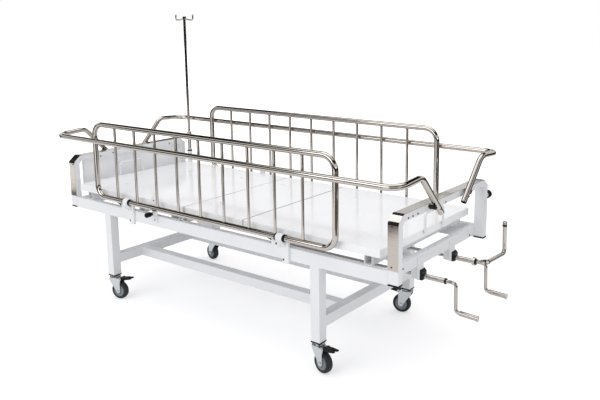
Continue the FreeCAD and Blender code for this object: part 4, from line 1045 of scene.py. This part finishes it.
bm = bmesh.new()
collar(bm, at(POLE_X, POLE_Y, 0), UP, *SOCKET_RING)
pole_ring = finish_piece(bm, "pole_ring", BLACK, "frame")
bm = bmesh.new()
for x in (POLE_X - HOOK_REACH, POLE_X + HOOK_REACH):
    turned(bm, HOOK_BALL, at(x, POLE_Y, BALL_Z), UP, BALL_STEPS)
hook_balls = finish_piece(bm, "hook_balls", CHROME, "pole_rod")
print(pole_ring.name, "and", hook_balls.name)

# %% Trim the holder
HOLDER_RIM = at(1200, 259, 428)
HOLDER_TOP = at(1200, 449, 580)
HOLDER_RUN = Vector((0.0, 198.0, -10.0)).normalized()
HOLDER_RISE = Vector((0.0, -8.0, 162.0)).normalized()
RIM_RING = (8.6, 11.3, -0.8, 5.0)
TOP_BAND = (10.0, 11.3, -22.0, -12.0)
TOP_CAP = [
    (0.0, 3.4), (5.0, 3.0), (9.0, 1.6), (11.2, -0.6), (11.2, -9.0), (10.4, -9.4), (0.0, -9.4),
]
CAP_STEPS = 24

bm = bmesh.new()
collar(bm, HOLDER_RIM, HOLDER_RUN, *RIM_RING)
collar(bm, HOLDER_TOP, HOLDER_RISE, *TOP_BAND)
holder_trim = finish_piece(bm, "holder_trim", BLACK, "frame")
bm = bmesh.new()
turned(bm, TOP_CAP, HOLDER_TOP, HOLDER_RISE, CAP_STEPS)
holder_cap = finish_piece(bm, "holder_cap", CHROME, "frame")
print(holder_trim.name, "and", holder_cap.name)

# %% [markdown]
# ## Studio floor
# The cot stands on white paper. Camera and mirror rays see paper and room as plain white, with
# only the shadow left on the paper, while the light that bounces around meets an ordinary pale
# surface. More light would whiten the paper too, but it would burn out the paint.

# %% Helpers for the stage
BACKGROUND_RAYS = ["Is Camera Ray", "Is Glossy Ray", "Is Transmission Ray"]


def any_ray(tree, names):
    """1 for a ray of any of these kinds."""
    rays = tree.nodes.new("ShaderNodeLightPath").outputs
    found = rays[names[0]]
    for name in names[1:]:
        found = number_math(tree, "MAXIMUM", found, rays[name])
    return found


def matt_material(name, color, roughness=1.0):
    material, tree, shader = start_material(name, color, roughness)
    shader.inputs["Specular IOR Level"].default_value = 0.0
    return material, tree, shader


def stage_piece(bm, name, material):
    mesh = bpy.data.meshes.new(name)
    bm.to_mesh(mesh)
    bm.free()
    mesh.materials.append(material)
    piece = bpy.data.objects.new(name, mesh)
    bpy.context.scene.collection.objects.link(piece)
    return piece


print("background rays:", len(BACKGROUND_RAYS))

# %% Lay the floor
FLOOR_HALF = 30.0
FLOOR_GLOW = (0.46, 1.0)
GLOW_REACH = (3.0, 6.0)
PAPER_COLOR = (0.74, 0.74, 0.745)
PAPER_ROUGHNESS = 0.95
PLAIN_WHITE = (1.0, 1.0, 1.0, 1.0)


def paper():
    material, tree, shader = matt_material("Studio paper", PAPER_COLOR, PAPER_ROUGHNESS)
    shader.inputs["Emission Color"].default_value = PLAIN_WHITE
    reach = vector_math(tree, "LENGTH", object_place(tree)).outputs["Value"]
    fade = map_range(tree, reach, GLOW_REACH, FLOOR_GLOW)
    glow = number_math(tree, "MULTIPLY", any_ray(tree, BACKGROUND_RAYS), fade)
    tree.links.new(glow, shader.inputs["Emission Strength"])
    return material


bm = bmesh.new()
bmesh.ops.create_grid(bm, x_segments=1, y_segments=1, size=FLOOR_HALF)
FLOOR = stage_piece(bm, "Floor", paper())
print(FLOOR.name, "half width:", FLOOR_HALF)

# %% [markdown]
# ## Flags and floor cloth
# Polished tube looks like metal only if it also has something dark to mirror. A studio stands
# black flags out of view for that. Here two black rings run round the set, one low and one
# high, and a brown cloth lies on the floor outside the view. Only mirror rays meet them, so
# they take no light from the cot and cast no shadow. Each panel of the cloth is given by two
# angles in degrees and two distances from the middle.

# %% Stand the flags round the set
FLAG_RADIUS = 9.0
FLAG_HEIGHTS = [(0.0, 2.0), (5.4, 11.0)]
FLAG_SIDES = 64
FLAG_COLOR = (0.02, 0.018, 0.016)


def only_mirrored(piece):
    """Leave a piece visible to mirror rays only."""
    for kind in ("camera", "diffuse", "shadow", "transmission"):
        setattr(piece, f"visible_{kind}", False)


bm = bmesh.new()
for low, high in FLAG_HEIGHTS:
    made = bmesh.ops.create_circle(bm, cap_ends=False, radius=FLAG_RADIUS, segments=FLAG_SIDES)
    rim = made["verts"]
    bmesh.ops.translate(bm, verts=rim, vec=UP * low)
    edges = list({edge for vertex in rim for edge in vertex.link_edges})
    raised = bmesh.ops.extrude_edge_only(bm, edges=edges)["geom"]
    top = [item for item in raised if isinstance(item, bmesh.types.BMVert)]
    bmesh.ops.translate(bm, verts=top, vec=UP * (high - low))
FLAGS = stage_piece(bm, "Flags", matt_material("Black flag cloth", FLAG_COLOR)[0])
only_mirrored(FLAGS)
print("flags:", len(FLAGS.data.polygons), "panels")

# %% Spread a brown cloth on the floor for mirror rays
CLOTH_PANELS = [(-65, 203, 3.0, 9.0), (203, 216, 3.0, 3.9), (216, 259, 3.0, 9.0)]
CLOTH_STEP = 6
CLOTH_Z = 0.004
CLOTH_COLOR = (0.16, 0.135, 0.115)

bm = bmesh.new()
for start, end, inner, outer in CLOTH_PANELS:
    heading = Matrix.Rotation(math.radians(start), 3, "Z") @ ALONG
    hem = [bm.verts.new(heading * reach + UP * CLOTH_Z) for reach in (inner, outer)]
    hem.append(bm.edges.new(hem))
    turn, steps = math.radians(end - start), (end - start) // CLOTH_STEP + 1
    bmesh.ops.spin(bm, geom=hem, cent=(0, 0, 0), axis=UP, angle=turn, steps=steps)
CLOTH = stage_piece(bm, "Floor_cloth", matt_material("Brown floor cloth", CLOTH_COLOR)[0])
only_mirrored(CLOTH)
print("cloth:", len(CLOTH.data.polygons), "faces")

# %% [markdown]
# ## Lamps and room
# One wide lamp lights the near side, a second fills from the foot end, and a third hangs above
# the deck. Wide lamps give soft shadows; small ones would draw every bar on the deck. A row
# gives a lamp's place, the height it is turned to, its size and its power. The room itself is a
# pale grey that fills what the lamps miss, and plain white where it is seen.

# %% Hang the lamps
LAMPS = [
    ("Key lamp", (-1.2, -7.0, 4.0), 0.4, (7.0, 3.5), 215.0),
    ("Top lamp", (-0.3, 0.3, 5.4), 0.5, (5.5, 3.0), 80.0),
    ("Fill lamp", (9.0, -2.5, 1.6), 0.4, (4.0, 2.4), 110.0),
]


def hang_lamp(name, place, target_z, size, power):
    """A soft rectangle of light, turned to a height on the cot's middle line."""
    light = bpy.data.lights.new(name, "AREA")
    light.shape = "RECTANGLE"
    light.size, light.size_y = size
    light.energy = power
    holder = bpy.data.objects.new(name, light)
    bpy.context.scene.collection.objects.link(holder)
    towards_cot = UP * target_z - Vector(place)
    facing = towards_cot.to_track_quat("-Z", "Y").to_matrix().to_4x4()
    holder.matrix_world = Matrix.Translation(place) @ facing
    return holder


for setting in LAMPS:
    print(hang_lamp(*setting).name, "power:", setting[-1])

# %% Paint the room
ROOM_COLOR = (0.68, 0.68, 0.69, 1.0)


def paint_world():
    world = bpy.data.worlds.new("Studio")
    bpy.context.scene.world = world
    world.use_nodes = True
    tree = world.node_tree
    color = mix_colors(tree, any_ray(tree, BACKGROUND_RAYS), ROOM_COLOR, PLAIN_WHITE)
    tree.links.new(color, tree.nodes["Background"].inputs["Color"])
    return world


WORLD = paint_world()
bpy.context.scene.view_settings.view_transform = "Standard"
print("world:", WORLD.name)
